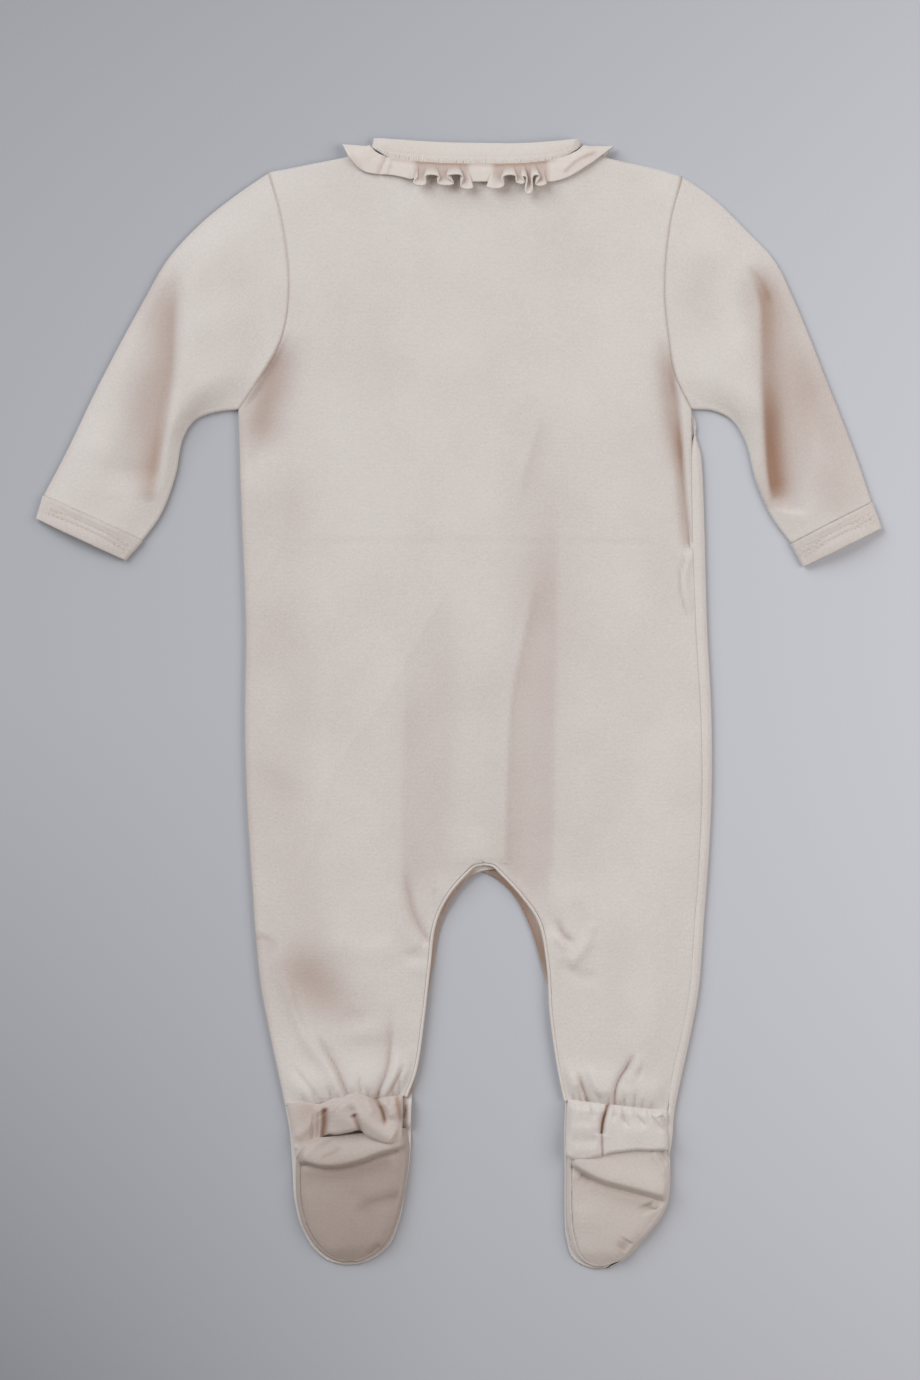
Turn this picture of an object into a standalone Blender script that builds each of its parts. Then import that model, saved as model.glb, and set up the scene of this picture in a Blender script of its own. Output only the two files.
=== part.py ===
"""Footed baby sleepsuit in cotton interlock, lying flat on its front with its back facing up.

Frame: metres, +Z up, +Y towards the neck, the floor at z = 0. Lengths in this file are in
millimetres and are scaled once, where the meshes are made. The wearer's left is at -X.
Every piece is one cut and sewn sheet, strip or tube with a real wall.
"""
import bmesh
import bpy
import numpy as np

MM = 0.001

# ---- driving dimensions, in millimetres ------------------------------------------------------
CLOTH = 1.2             # wall of one layer of interlock
SEAM = 0.45             # clear gap between the edges of two pieces that meet at a seam
FLOOR_LAYER = CLOTH / 2  # middle of a layer that lies on the floor
CENTRE = 11.0           # x of the centre line of the back
BACK_HEIGHT = 4.7       # middle of the back layer, away from folds and edges
SIDE_HEIGHT = 2.3       # middle of the back layer at the left side seam
WRAP_HEIGHT = 3.8       # the same at the right side seam, where the front wraps round
INSEAM_HEIGHT = 3.0     # the same at the inner leg edges
EDGE_ROUND = 11.0       # reach of the rounded edge of a panel
PLACKET_HALF = 9.0      # half the overlap of the two fronts
PLACKET_LIFT = 0.8      # how far the stud caps hold the outer front off the floor
STUD_STEP = 2.4         # from the middle of the outer front to that of the inner front
STUD_RADIUS = 4.7
STUD_COUNT = 6
STUD_TOP_Y = 236.0
STUD_BOTTOM_Y = -48.0
CAP_THICK = 0.5
CORE_THICK = 0.6
FRILL_LIFT = 1.5        # one layer of frill and its gap, under the front neckline
BAND_THICK = 1.8        # turned hem of the cuffs
BINDING_THICK = 1.4     # folded binding of the neck
TUBE_CROWN = 4.9        # middle of a sleeve's upper layer
CUFF_CROWN = 4.6        # the same over a turned hem
PLACKET_RIDGE = 1.0     # rise of the back over the thick overlap of the fronts
BACK_COLOUR = (0.80, 0.70, 0.64)
FRONT_COLOUR = (0.78, 0.68, 0.62)
CUFF_COLOUR = (0.80, 0.71, 0.66)
HEEL_COLOUR = (0.72, 0.62, 0.56)
SOLE_COLOUR = (0.66, 0.56, 0.50)
BINDING_COLOUR = (0.82, 0.73, 0.68)
FRILL_COLOUR = (0.83, 0.73, 0.67)
INSEAM_COLOUR = (0.84, 0.76, 0.71)
CAP_COLOUR = (0.85, 0.80, 0.77)
SOCKET_COLOUR = (0.80, 0.80, 0.80)

# ---- outlines --------------------------------------------------------------------------------
# A row for each level of the trunk: y, left edge x, right edge x.
ARMHOLE_LEVELS = (
    (275.5, -98.5, 115.5),
    (250.0, -91.8, 109.6),
    (215.0, -88.2, 106.6),
    (190.0, -92.0, 108.8),
    (169.0, -103.5, 112.8),
    (153.0, -114.5, 120.5),
)
SIDE_LEVELS = (
    (153.0, -114.5, 120.5),
    (106.0, -113.0, 120.8),
    (38.0, -110.5, 123.0),
    (-8.0, -111.0, 125.6),
    (-50.0, -110.0, 126.0),
    (-84.0, -108.0, 124.5),
)
NECK_Y = 277.0          # first row of the trunk, before it takes the curve of the neckline
ARMPIT_Y = 153.0
CROTCH_Y = -82.5
# A row for each section of a leg of the back: inner x, inner y, outer x, outer y.
BACK_LEG = {
    "left": (
        (13.0, -82.5, -108.0, -84.0),
        (3.5, -87.5, -107.0, -97.0),
        (-6.5, -99.0, -106.0, -112.0),
        (-13.5, -114.0, -104.6, -129.0),
        (-16.5, -137.0, -102.5, -148.0),
        (-19.5, -163.0, -98.5, -169.0),
        (-23.5, -190.0, -93.8, -191.0),
        (-28.5, -204.0, -90.0, -209.0),
    ),
    "right": (
        (13.0, -82.5, 124.5, -84.0),
        (22.5, -88.0, 123.6, -98.0),
        (33.5, -99.5, 122.4, -112.0),
        (42.5, -113.0, 121.3, -128.0),
        (47.0, -135.0, 119.8, -148.0),
        (48.8, -162.0, 115.8, -171.0),
        (52.6, -189.0, 110.5, -193.0),
        (56.2, -206.5, 106.5, -212.0),
    ),
}
# A row for each section of a front leg and foot: inner x, inner y, outer x, outer y.
FRONT_LEG = {
    "left": (
        (20.0, -86.0, -108.0, -84.0),
        (11.0, -87.5, -107.0, -96.0),
        (-0.5, -97.5, -106.0, -112.0),
        (-9.0, -114.0, -104.6, -129.0),
        (-14.0, -139.0, -102.5, -148.0),
        (-19.5, -172.0, -98.5, -171.0),
        (-24.5, -206.0, -90.5, -209.0),
        (-25.0, -220.0, -88.0, -223.0),
        (-25.5, -236.0, -86.5, -243.0),
        (-28.0, -254.0, -85.5, -258.0),
        (-32.0, -272.0, -81.0, -274.0),
        (-38.5, -284.0, -73.0, -286.0),
        (-49.0, -290.5, -64.0, -291.0),
    ),
    "right": (
        (2.0, -86.0, 129.0, -84.0),
        (12.5, -87.5, 128.0, -97.0),
        (26.0, -97.0, 126.8, -112.0),
        (36.5, -115.0, 125.7, -129.0),
        (43.5, -139.0, 124.0, -149.0),
        (50.5, -172.0, 119.6, -173.0),
        (55.0, -207.0, 111.5, -212.0),
        (54.5, -224.0, 110.5, -224.0),
        (54.8, -243.0, 110.3, -240.0),
        (54.8, -262.0, 107.0, -263.5),
        (56.0, -279.0, 95.5, -279.0),
        (61.0, -290.0, 85.5, -289.5),
        (68.0, -293.4, 78.0, -293.2),
    ),
}
# Right front: how far its wrapped side passes the seam. A row for each level: y, width.
WRAP_LEVELS = ((153.0, 3.0), (116.0, 5.5), (38.0, 5.5), (-64.0, 4.6), (-148.0, 4.4), (-212.0, 4.6))
BACK_NECK = {
    "left": ((11.0, 278.5), (-15.0, 279.2), (-36.0, 281.6), (-45.0, 286.0)),
    "right": ((11.0, 278.5), (36.0, 279.0), (54.0, 282.0), (63.0, 286.5)),
}
FRONT_NECK = {
    "left": ((20.0, 245.5), (-7.5, 247.5), (-25.5, 255.5), (-38.5, 270.0), (-45.0, 284.5)),
    "right": ((2.0, 245.5), (29.0, 247.5), (46.5, 255.5), (57.5, 270.0), (63.0, 285.0)),
}
SHOULDER = {
    "left": ((-45.0, 286.0), (-64.0, 282.0), (-82.0, 278.6), (-98.5, 275.5)),
    "right": ((63.0, 286.5), (82.0, 281.5), (102.0, 277.3), (115.5, 273.5)),
}
SLEEVE_OUTER = {
    "left": ((-98.5, 275.5), (-116.0, 263.5), (-134.0, 249.0), (-151.0, 230.5), (-163.0, 210.0),
             (-185.5, 168.0), (-205.5, 126.5), (-215.5, 107.5)),
    "right": ((115.5, 273.5), (132.0, 262.0), (151.0, 243.5), (163.5, 230.0), (173.5, 210.0),
              (190.5, 168.0), (206.5, 126.5), (214.0, 104.0)),
}
SLEEVE_UNDER = {
    "left": ((-114.5, 153.0), (-127.0, 151.5), (-137.5, 147.5), (-143.5, 139.0), (-148.0, 118.0),
             (-155.5, 98.0), (-165.0, 84.5)),
    "right": ((120.5, 153.0), (132.0, 152.3), (142.0, 147.5), (149.5, 136.0), (155.0, 115.0),
              (163.5, 96.0), (173.0, 83.0)),
}
# How the two edges of a sleeve are paired: share of its run, of the underarm, of the outer edge.
SLEEVE_PACE = ((0.0, 0.0, 0.0), (0.3, 0.22, 0.32), (0.6, 0.42, 0.74), (1.0, 1.0, 1.0))
CUFF_END = {
    "left": ((-174.0, 74.5), (-219.0, 95.5)),
    "right": ((179.5, 71.0), (219.0, 90.5)),
}
# Soft folds of the back and sleeves: path, half width, depth (a ridge is plus).
FOLDS = (
    (((-4.0, 262.0), (2.0, -66.0)), 11.0, 0.6),        # over the left edge of the placket
    (((24.0, 70.0), (23.0, -66.0)), 9.0, 0.5),         # over its right edge
    (((36.0, 130.0), (34.0, -70.0)), 13.0, -0.7),      # hollow right of the placket
    (((-26.0, 10.0), (-24.0, -80.0)), 16.0, -0.6),     # hollow left of it
    (((112.0, 180.0), (117.0, 92.0)), 5.0, -1.0),      # groove along the right side
    (((118.0, 84.0), (117.0, 56.0)), 6.0, 0.9),        # pucker under that groove
    (((-72.0, -147.0), (-70.0, -160.0)), 12.0, -1.3),  # left knee
    (((-93.0, -130.0), (-62.0, -196.0)), 5.0, 0.9),    # ridge down the left shin
    (((-26.0, -92.0), (-18.0, -120.0)), 7.0, -0.9),    # from the crotch into the left thigh
    (((82.0, -184.0), (76.0, -200.0)), 3.5, -1.1),     # right ankle
    (((-145.0, 236.0), (-157.0, 185.0), (-160.0, 112.0)), 14.0, -1.8),  # trough of the left sleeve
    (((133.0, 243.0), (160.0, 205.0), (167.0, 168.0), (160.0, 112.0)), 12.0, -1.9),  # of the right
)
# Gathered end of each back leg, below the ankle elastic: top edge, bottom edge (x, y points).
HEEL_EDGES = {
    "left": (((-28.9, -204.9), (-59.0, -207.4), (-89.8, -209.9)),
             ((-29.5, -229.0), (-42.0, -227.0), (-54.0, -224.5), (-68.0, -226.5), (-84.5, -235.0))),
    "right": (((56.2, -207.4), (81.0, -210.1), (106.6, -212.9)),
              ((57.0, -236.0), (66.0, -237.0), (76.0, -234.5), (90.0, -232.5), (107.5, -231.5))),
}
HEEL_CROWN = 12.0
HEEL_BASE = 1.9         # underside of the gathered heel, just over the front layer
HEEL_LIP = 7.4          # underside of its lower lip, over the fold of the sole
# A row for each section of a sole: inner x, inner y, outer x, outer y, crown height.
SOLE = {
    "left": (
        (-28.0, -220.5, -83.0, -226.5, 4.0),
        (-26.5, -226.5, -84.0, -234.0, 5.2),
        (-26.0, -231.0, -84.3, -239.0, 7.8),
        (-26.3, -235.5, -84.5, -244.0, 4.4),
        (-27.0, -243.0, -84.5, -250.0, 5.8),
        (-29.0, -256.0, -83.5, -261.0, 6.6),
        (-33.5, -272.0, -79.0, -275.0, 6.2),
        (-40.0, -283.0, -71.0, -285.0, 4.8),
        (-50.0, -289.0, -63.0, -289.3, 2.4),
    ),
    "right": (
        (57.5, -229.0, 107.0, -224.5, 4.0),
        (57.0, -235.0, 108.3, -232.0, 5.0),
        (56.4, -239.5, 109.5, -244.0, 8.6),
        (56.2, -243.0, 108.5, -257.5, 4.5),
        (56.2, -250.0, 106.0, -264.0, 5.8),
        (56.4, -263.0, 99.5, -273.5, 6.6),
        (58.0, -277.0, 91.5, -281.5, 6.2),
        (62.5, -288.0, 84.5, -288.8, 4.8),
        (68.5, -292.0, 77.5, -292.0, 2.4),
    ),
}
SOLE_RIM = 1.95         # middle of the sole at its seam with the front
# Where the rows and columns of the trunk panels run, as shares of their length and width.
BACK_COLUMNS = (0.0, 0.12, 0.24, 0.37, 0.5, 0.68, 0.85, 0.95, 1.0)
FRONT_COLUMNS = (0.0, 0.07, 0.15, 0.24, 0.37, 0.5, 0.74)
ARMHOLE_ROWS = np.concatenate([[0.0, 0.01], np.linspace(0.03, 0.344, 10)])
SIDE_ROWS = np.linspace(0.41, 1.0, 9)
TRUNK_ROWS = np.concatenate([ARMHOLE_ROWS, SIDE_ROWS])
FOLD_PATH = ((-4.4, 0.0), (-1.6, 0.15), (0.0, 1.6), (-1.2, 3.1))   # side fold: x, rise
TUBE_SIDE = ((0.0, 0.5), (0.9, 0.86), (3.2, 1.0))   # edge of a flattened tube: inset, share of height
# Binding of the neckline, a row for each station: seam x, y, z, then opening edge x, y, z.
BINDING = (
    (20.0, 246.8, 3.8, 20.0, 253.6, 3.8),
    (-2.0, 248.2, 2.8, 0.0, 254.8, 2.8),
    (-22.5, 257.0, 1.9, -17.5, 262.0, 1.3),
    (-36.0, 272.0, 1.8, -29.5, 275.0, 1.1),
    (-42.4, 284.0, 1.5, -36.6, 285.8, 1.0),
    (-43.4, 287.0, 1.6, -42.0, 291.6, 1.4),
    (-44.8, 287.8, 3.1, -43.6, 293.0, 2.8),
    (-43.2, 287.2, 4.6, -41.8, 292.6, 4.3),
    (-35.5, 282.6, 5.0, -32.0, 292.0, 4.8),
    (-14.0, 280.0, 5.0, -12.0, 290.8, 4.2),
    (11.0, 279.3, 5.4, 11.0, 290.2, 4.4),
    (35.0, 279.9, 5.0, 33.0, 290.2, 4.2),
    (53.0, 282.9, 5.0, 50.0, 291.2, 4.8),
    (61.0, 287.4, 4.6, 59.6, 292.2, 4.3),
    (62.8, 288.2, 3.1, 61.4, 292.6, 2.8),
    (61.4, 287.0, 1.6, 60.0, 290.8, 1.4),
    (60.4, 284.0, 1.5, 54.0, 285.6, 1.0),
    (54.8, 271.5, 1.8, 48.5, 275.0, 1.1),
    (44.0, 257.2, 1.9, 39.5, 262.6, 1.2),
    (25.0, 248.8, 1.7, 23.5, 255.4, 1.4),
    (2.0, 246.8, 1.4, 2.0, 253.6, 1.4),
)
# Gathered frill in the neck seam, a row for each station: seam x, y, z, free edge x, y, z.
FRILL = (
    (-16.0, 250.0, 0.6, -20.0, 240.0, 0.6),
    (-26.0, 256.0, 0.6, -33.5, 247.5, 0.6),
    (-38.5, 269.5, 0.6, -48.5, 264.5, 0.6),
    (-44.5, 281.5, 0.6, -55.5, 278.5, 0.6),
    (-46.0, 287.4, 0.8, -58.8, 286.8, 0.7),
    (-46.4, 288.6, 3.4, -60.4, 289.8, 3.4),
    (-45.8, 287.4, 6.2, -57.0, 283.0, 6.8),
    (-41.5, 283.6, 6.6, -50.0, 275.8, 6.8),
    (-30.0, 280.8, 6.6, -33.0, 273.2, 7.0),
    (-14.0, 279.0, 6.8, -14.0, 269.0, 7.4),
    (11.0, 278.2, 7.4, 11.0, 270.0, 7.6),
    (36.0, 278.8, 6.8, 37.0, 268.8, 7.4),
    (50.0, 280.8, 6.6, 54.0, 271.5, 7.0),
    (60.0, 284.6, 6.4, 68.0, 279.5, 6.6),
    (64.6, 288.0, 5.8, 78.0, 287.0, 5.0),
    (65.4, 288.8, 3.4, 80.4, 288.8, 3.2),
    (65.0, 287.6, 0.8, 77.5, 286.4, 0.7),
    (62.5, 281.0, 0.6, 73.0, 276.5, 0.6),
    (57.5, 269.0, 0.6, 66.5, 262.5, 0.6),
    (47.0, 255.5, 0.6, 54.0, 247.0, 0.6),
    (38.0, 250.8, 0.6, 42.5, 240.8, 0.6),
)
FRILL_WALL = 1.0        # wall of the frill's thinner knit
# Ruffles of the frill across the back, a row for each: centre x, half width, rise.
RUFFLES = (
    (-19.5, 4.5, 3.4),
    (-9.0, 5.5, 4.2),
    (2.0, 4.5, 3.6),
    (21.5, 5.0, 3.8),
    (33.0, 4.5, 4.0),
    (43.0, 5.0, 3.4),
)
INSEAM_RADIUS = 0.8     # rolled binding of the inner leg edges
INSEAM_GAP = 0.55       # clear of the edge of the back


# ---- curves and heights ----------------------------------------------------------------------
def hermite(knots, values, at):
    """Smooth curve through values at rising knots, read at the places in `at`."""
    knots = np.asarray(knots, float)
    values = np.asarray(values, float).reshape(len(knots), -1)
    at = np.clip(np.asarray(at, float), knots[0], knots[-1])
    step = np.diff(knots)[:, None]
    slope = np.diff(values, axis=0) / step
    tangent = np.vstack([slope[:1], slope, slope[-1:]])
    tangent = (tangent[:-1] + tangent[1:]) / 2
    i = np.clip(np.searchsorted(knots, at, side="right") - 1, 0, len(knots) - 2)
    h = step[i]
    u = ((at - knots[i]) / h[:, 0])[:, None]
    start = (2 * u**3 - 3 * u**2 + 1) * values[i] + (u**3 - 2 * u**2 + u) * h * tangent[i]
    return start + (3 * u**2 - 2 * u**3) * values[i + 1] + (u**3 - u**2) * h * tangent[i + 1]


def along(points, t):
    """Points at fractions t of the length of a smooth curve through `points`."""
    points = np.asarray(points, float)
    steps = np.hypot(*np.diff(points[:, :2], axis=0).T)
    length = np.concatenate([[0.0], np.cumsum(steps)])
    return hermite(length, points, np.asarray(t, float) * length[-1])


def smooth(t):
    """Smooth step from 0 to 1."""
    t = np.clip(t, 0.0, 1.0)
    return t * t * (3 - 2 * t)


def rounding(distance, reach=EDGE_ROUND):
    """Rounded edge: 0 at the edge, 1 from `reach` inwards."""
    inside = 1 - np.clip(distance / reach, 0.0, 1.0)
    return np.sqrt(1 - inside**2)


def distance_to(x, y, points):
    """Distance in plan from each place to a line of points."""
    nearest = np.full(np.shape(x), np.inf)
    for (ax, ay), (bx, by) in zip(points[:-1], points[1:]):
        length = (bx - ax) ** 2 + (by - ay) ** 2
        u = np.clip(((x - ax) * (bx - ax) + (y - ay) * (by - ay)) / length, 0.0, 1.0)
        nearest = np.minimum(nearest, np.hypot(x - ax - u * (bx - ax), y - ay - u * (by - ay)))
    return nearest


def folds(x, y):
    """Sum of the soft folds at each place."""
    height = np.zeros(np.shape(x))
    for path, half, depth in FOLDS:
        height += depth * np.exp(-((distance_to(x, y, path) / half) ** 2))
    return height


def under_frill(x, y):
    """Lift of the layers over the part of the frill that lies under the front neckline."""
    lift = 0.0
    for side in ("left", "right"):
        near = distance_to(x, y, FRONT_NECK[side])
        lift = np.maximum(lift, FRILL_LIFT * smooth((46.0 - near) / 20.0))
    return lift * smooth((np.abs(x - CENTRE) - PLACKET_HALF - 3.0) / 7.0)


def inseam_height(y):
    """Middle of the back layer at its inner edges: higher over the overlap at the crotch."""
    return INSEAM_HEIGHT + 1.4 * smooth((y + 114.0) / 24.0)


def edge_x(levels, y, side):
    """x of the left or right edge of the trunk at the heights y."""
    rows = np.array(levels)[::-1]
    return hermite(rows[:, 0], rows[:, 1 if side == "left" else 2], y)[:, 0]


# ---- meshes ----------------------------------------------------------------------------------
def cloth_material(name, colour, roughness=0.9):
    """Matte cloth or bare metal of one colour."""
    material = bpy.data.materials.new(name)
    material.use_nodes = True
    shader = material.node_tree.nodes["Principled BSDF"]
    shader.inputs["Base Color"].default_value = (*colour, 1.0)
    shader.inputs["Roughness"].default_value = roughness
    shader.inputs["Metallic"].default_value = 0.0
    return material


def add_object(name, vertices, faces, colour):
    """One named object from points in millimetres, with its faces pointing out."""
    mesh = bpy.data.meshes.new(name)
    mesh.from_pydata([tuple(np.asarray(v) * MM) for v in vertices], [], faces)
    work = bmesh.new()
    work.from_mesh(mesh)
    bmesh.ops.remove_doubles(work, verts=work.verts, dist=0.00001)
    bmesh.ops.recalc_face_normals(work, faces=work.faces)
    work.to_mesh(mesh)
    work.free()
    mesh.shade_smooth()
    mesh.materials.append(cloth_material(name, colour))
    thing = bpy.data.objects.new(name, mesh)
    bpy.context.scene.collection.objects.link(thing)
    return thing


def add_wall(thing, thickness=CLOTH):
    """Give a sheet its thickness, half to each side."""
    wall = thing.modifiers.new("wall", "SOLIDIFY")
    wall.thickness = thickness * MM
    wall.offset = 0.0
    wall.use_rim = True


def grid_faces(rows, columns, ring=False):
    """Quads of a grid of rows by columns, closed round each row for a ring."""
    faces = []
    for r in range(rows - 1):
        for c in range(columns if ring else columns - 1):
            d = (c + 1) % columns
            faces.append((r * columns + c, r * columns + d, (r + 1) * columns + d, (r + 1) * columns + c))
    return faces


def add_sheet(name, grid, colour, ring=False, thickness=CLOTH):
    """A wall of cloth over a grid of points (rows, columns, xyz)."""
    rows, columns = grid.shape[:2]
    thing = add_object(name, grid.reshape(-1, 3), grid_faces(rows, columns, ring), colour)
    add_wall(thing, thickness)
    return thing


def patch(inner, outer, columns):
    """Plan points on straight rows between two edges."""
    s = np.asarray(columns)[None, :, None]
    return inner[:, None, :] * (1 - s) + outer[:, None, :] * s


def bend_top(plan, top, t, reach=0.45):
    """Carry the top row onto its own curve and let the shift fade down the rows."""
    fade = np.clip(1 - t / reach, 0.0, 1.0)[:, None, None]
    return plan + fade * (top - plan[0])[None]


# ---- trunk and legs --------------------------------------------------------------------------
def trunk_rows(side, inner_x, top_curves, columns, wrap=0.0):
    """Plan points of one half of the trunk, from the neck and shoulder to the crotch."""
    y = NECK_Y + TRUNK_ROWS * (CROTCH_Y - NECK_Y)
    armhole = edge_x(ARMHOLE_LEVELS, np.maximum(y, ARMPIT_Y), side)
    outer_x = np.where(y > ARMPIT_Y, armhole, edge_x(SIDE_LEVELS, np.minimum(y, ARMPIT_Y), side))
    outer_x = outer_x + wrap * wrap_width(y)
    inner = np.stack([np.full(len(y), inner_x), y], axis=1)
    outer = np.stack([outer_x, y], axis=1)
    neck, shoulder = top_curves
    split = 0.5
    top = []
    for s in columns:
        curve, at = (neck, s / split) if s <= split else (shoulder, (s - split) / (1 - split))
        top.append(along(curve, [at])[0])
    return bend_top(patch(inner, outer, columns), np.array(top), TRUNK_ROWS), y


def wrap_width(y):
    """How far the right front passes its side seam; nothing above the armpit."""
    rows = np.array(WRAP_LEVELS)[::-1]
    return hermite(rows[:, 0], rows[:, 1], y)[:, 0] * smooth((150.0 - y) / 14.0)


def leg_rows(table, columns, count):
    """Plan points of one leg, on the rows of its table."""
    rows = along_rows(table, count)
    return patch(rows[:, 0:2], rows[:, 2:4], columns)


def along_rows(table, count):
    """Evenly spaced rows read from a table whose first two columns are the inner edge."""
    table = np.asarray(table, float)
    middle = (table[:, 0:2] + table[:, 2:4]) / 2
    steps = np.hypot(*np.diff(middle, axis=0).T)
    knots = np.concatenate([[0.0], np.cumsum(steps)])
    return hermite(knots, table, np.linspace(0.0, knots[-1], count))


def back_half(side):
    """Points of one half of the back, from the neck to the ankle."""
    trunk, y = trunk_rows(side, CENTRE, (BACK_NECK[side], SHOULDER[side]), BACK_COLUMNS)
    leg = leg_rows(BACK_LEG[side], BACK_COLUMNS, 15)
    plan = np.concatenate([trunk, leg[1:]])
    plan[len(trunk) - 1] = leg[0]
    x, y = plan[:, :, 0], plan[:, :, 1]
    width = np.hypot(*np.moveaxis(plan[:, -1] - plan[:, 0], -1, 0))[:, None]
    columns = np.asarray(BACK_COLUMNS)[None, :]
    side_height = SIDE_HEIGHT if side == "left" else WRAP_HEIGHT
    below_arm = smooth((166.0 - y[:, -1:]) / 14.0)
    outer_edge = BACK_HEIGHT + (side_height - BACK_HEIGHT) * below_arm
    height = BACK_HEIGHT - (BACK_HEIGHT - outer_edge) * (1 - rounding((1 - columns) * width))
    below_crotch = np.arange(len(plan))[:, None] >= len(trunk) - 1
    inner_drop = (BACK_HEIGHT - inseam_height(y[:, :1])) * (1 - rounding(columns * width))
    height = height - below_crotch * inner_drop
    shoulder_line = distance_to(x, y, SHOULDER[side])
    shoulder_drop = (height - SIDE_HEIGHT - under_frill(x, y)) * (1 - rounding(shoulder_line, 9.0))
    height = height - shoulder_drop
    ridge = 1 - smooth((np.abs(x - CENTRE) - 12.0) / 12.0)
    height = height + PLACKET_RIDGE * ridge * smooth((y + 96.0) / 20.0)
    soft = smooth(shoulder_line / 12.0) * smooth((1 - columns) * width / 6.0 + (1 - below_arm))
    height = height + folds(x, y) * soft
    return np.dstack([plan, height])


def add_back():
    """The back: trunk and both legs in one sheet, joined along its centre line."""
    halves = {side: back_half(side) for side in ("left", "right")}
    trunk_count = len(TRUNK_ROWS)
    vertices = []
    faces = []
    for side in ("left", "right"):
        grid = halves[side]
        rows, columns = grid.shape[:2]
        faces += [tuple(len(vertices) + i for i in face) for face in grid_faces(rows, columns)]
        vertices += list(grid.reshape(-1, 3))
    for r in range(trunk_count):
        left = r * len(BACK_COLUMNS)
        right = halves["left"].shape[0] * len(BACK_COLUMNS) + left
        vertices[right] = vertices[left]
    thing = add_object("back_panel", vertices, faces, BACK_COLOUR)
    add_wall(thing)


def front_half(side):
    """Points of one front, from the neck to the toes, with its side fold on the right."""
    outward = -1.0 if side == "left" else 1.0
    inner_x = CENTRE - outward * PLACKET_HALF
    wrap = 0.0 if side == "left" else 1.0
    columns = FRONT_COLUMNS + (1.0,)
    trunk, y = trunk_rows(side, inner_x, (FRONT_NECK[side], SHOULDER[side]), columns, wrap)
    leg = leg_rows(FRONT_LEG[side], columns, 16)
    below_arm = [len(ARMHOLE_ROWS) + k for k in (0, 1, 3, 5, 6, 7)]
    plan = np.concatenate([trunk[:len(ARMHOLE_ROWS)], trunk[below_arm], leg])
    x, y = plan[:, :, 0], plan[:, :, 1]
    lift = placket_height(x, y, side)
    height = FLOOR_LAYER + np.maximum(lift, under_frill(x, y))
    grid = np.dstack([plan, height])
    return grid if side == "left" else fold_side(grid)


def fold_side(grid):
    """Turn the outer edge of the right front up and back over itself, below the armpit."""
    edge = grid[:, -1:]
    room = np.clip((edge[:, :, :1] - grid[:, :1, :1]) / 60.0, 0.0, 1.0)
    flat = edge - room * np.array([[[d, 0.0, 0.0] for d in (8.0, 6.0, 4.0, 2.0, 0.0)]])
    bent = edge + np.array([[[dx, 0.0, dz] for dx, dz in FOLD_PATH + ((0.0, 3.2),)]])
    back_reach = wrap_width(edge[:, 0, 1]) - SEAM - 0.3
    bent[:, -1, 0] -= np.maximum(back_reach, 2.2)
    y = edge[:, :, 1]
    stand = smooth((148.0 - y) / 12.0) * smooth((y + 214.0) / 12.0)
    turn = smooth((138.0 - y) / 14.0) * smooth((y + 204.0) / 14.0)
    share = np.stack([turn, turn, stand], axis=2)
    return np.concatenate([grid[:, :-1], flat + share * (bent - flat)], axis=1)


def placket_height(x, y, side):
    """Lift of a front over the stud caps, and of the inner front over the outer one."""
    studded = smooth((y + 86.0) / 12.0)
    if side == "right":
        return PLACKET_LIFT * studded * (1 - smooth((np.abs(x - CENTRE) - PLACKET_HALF - 3.0) / 8.0))
    rise = smooth((x - CENTRE + PLACKET_HALF + 14.0) / 9.0)
    bare = (CLOTH + 0.3) * smooth((y + 118.0) / 14.0)
    return (bare + studded * (PLACKET_LIFT + STUD_STEP - CLOTH - 0.3)) * rise


def add_fronts():
    """The two fronts; the wearer's right lies outermost, so it is the lower one here."""
    for side in ("left", "right"):
        add_sheet("front_" + side, front_half(side), FRONT_COLOUR)


# ---- sleeves and cuffs -----------------------------------------------------------------------
def flat_ring(plan, width, top):
    """Close a row of plan points into a flattened ring: across the top, back along the floor."""
    s = np.linspace(0.0, 1.0, len(plan))
    middle = (top + FLOOR_LAYER) / 2
    ring = []
    inset = [d / width for d, share in TUBE_SIDE]
    share = [h for d, h in TUBE_SIDE]
    inner = np.linspace(inset[-1], 1 - inset[-1], 8)[1:-1]
    stops = list(inset) + list(inner) + [1 - d for d in reversed(inset)]
    rises = share + [1.0] * len(inner) + share[::-1]
    for at, rise in zip(stops, rises):
        place = [np.interp(at, s, plan[:, k]) for k in (0, 1)]
        local = FLOOR_LAYER + 2 * (middle - FLOOR_LAYER) * rise
        dip = folds(np.array(place[0]), np.array(place[1])) * smooth((min(at, 1 - at) * width - 2.0) / 12.0)
        ring.append((*place, local + dip))
    for at, rise in list(zip(stops, rises))[-2:0:-1]:
        place = [np.interp(at, s, plan[:, k]) for k in (0, 1)]
        ring.append((*place, FLOOR_LAYER + 2 * (middle - FLOOR_LAYER) * (1 - rise)))
    return ring


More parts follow.
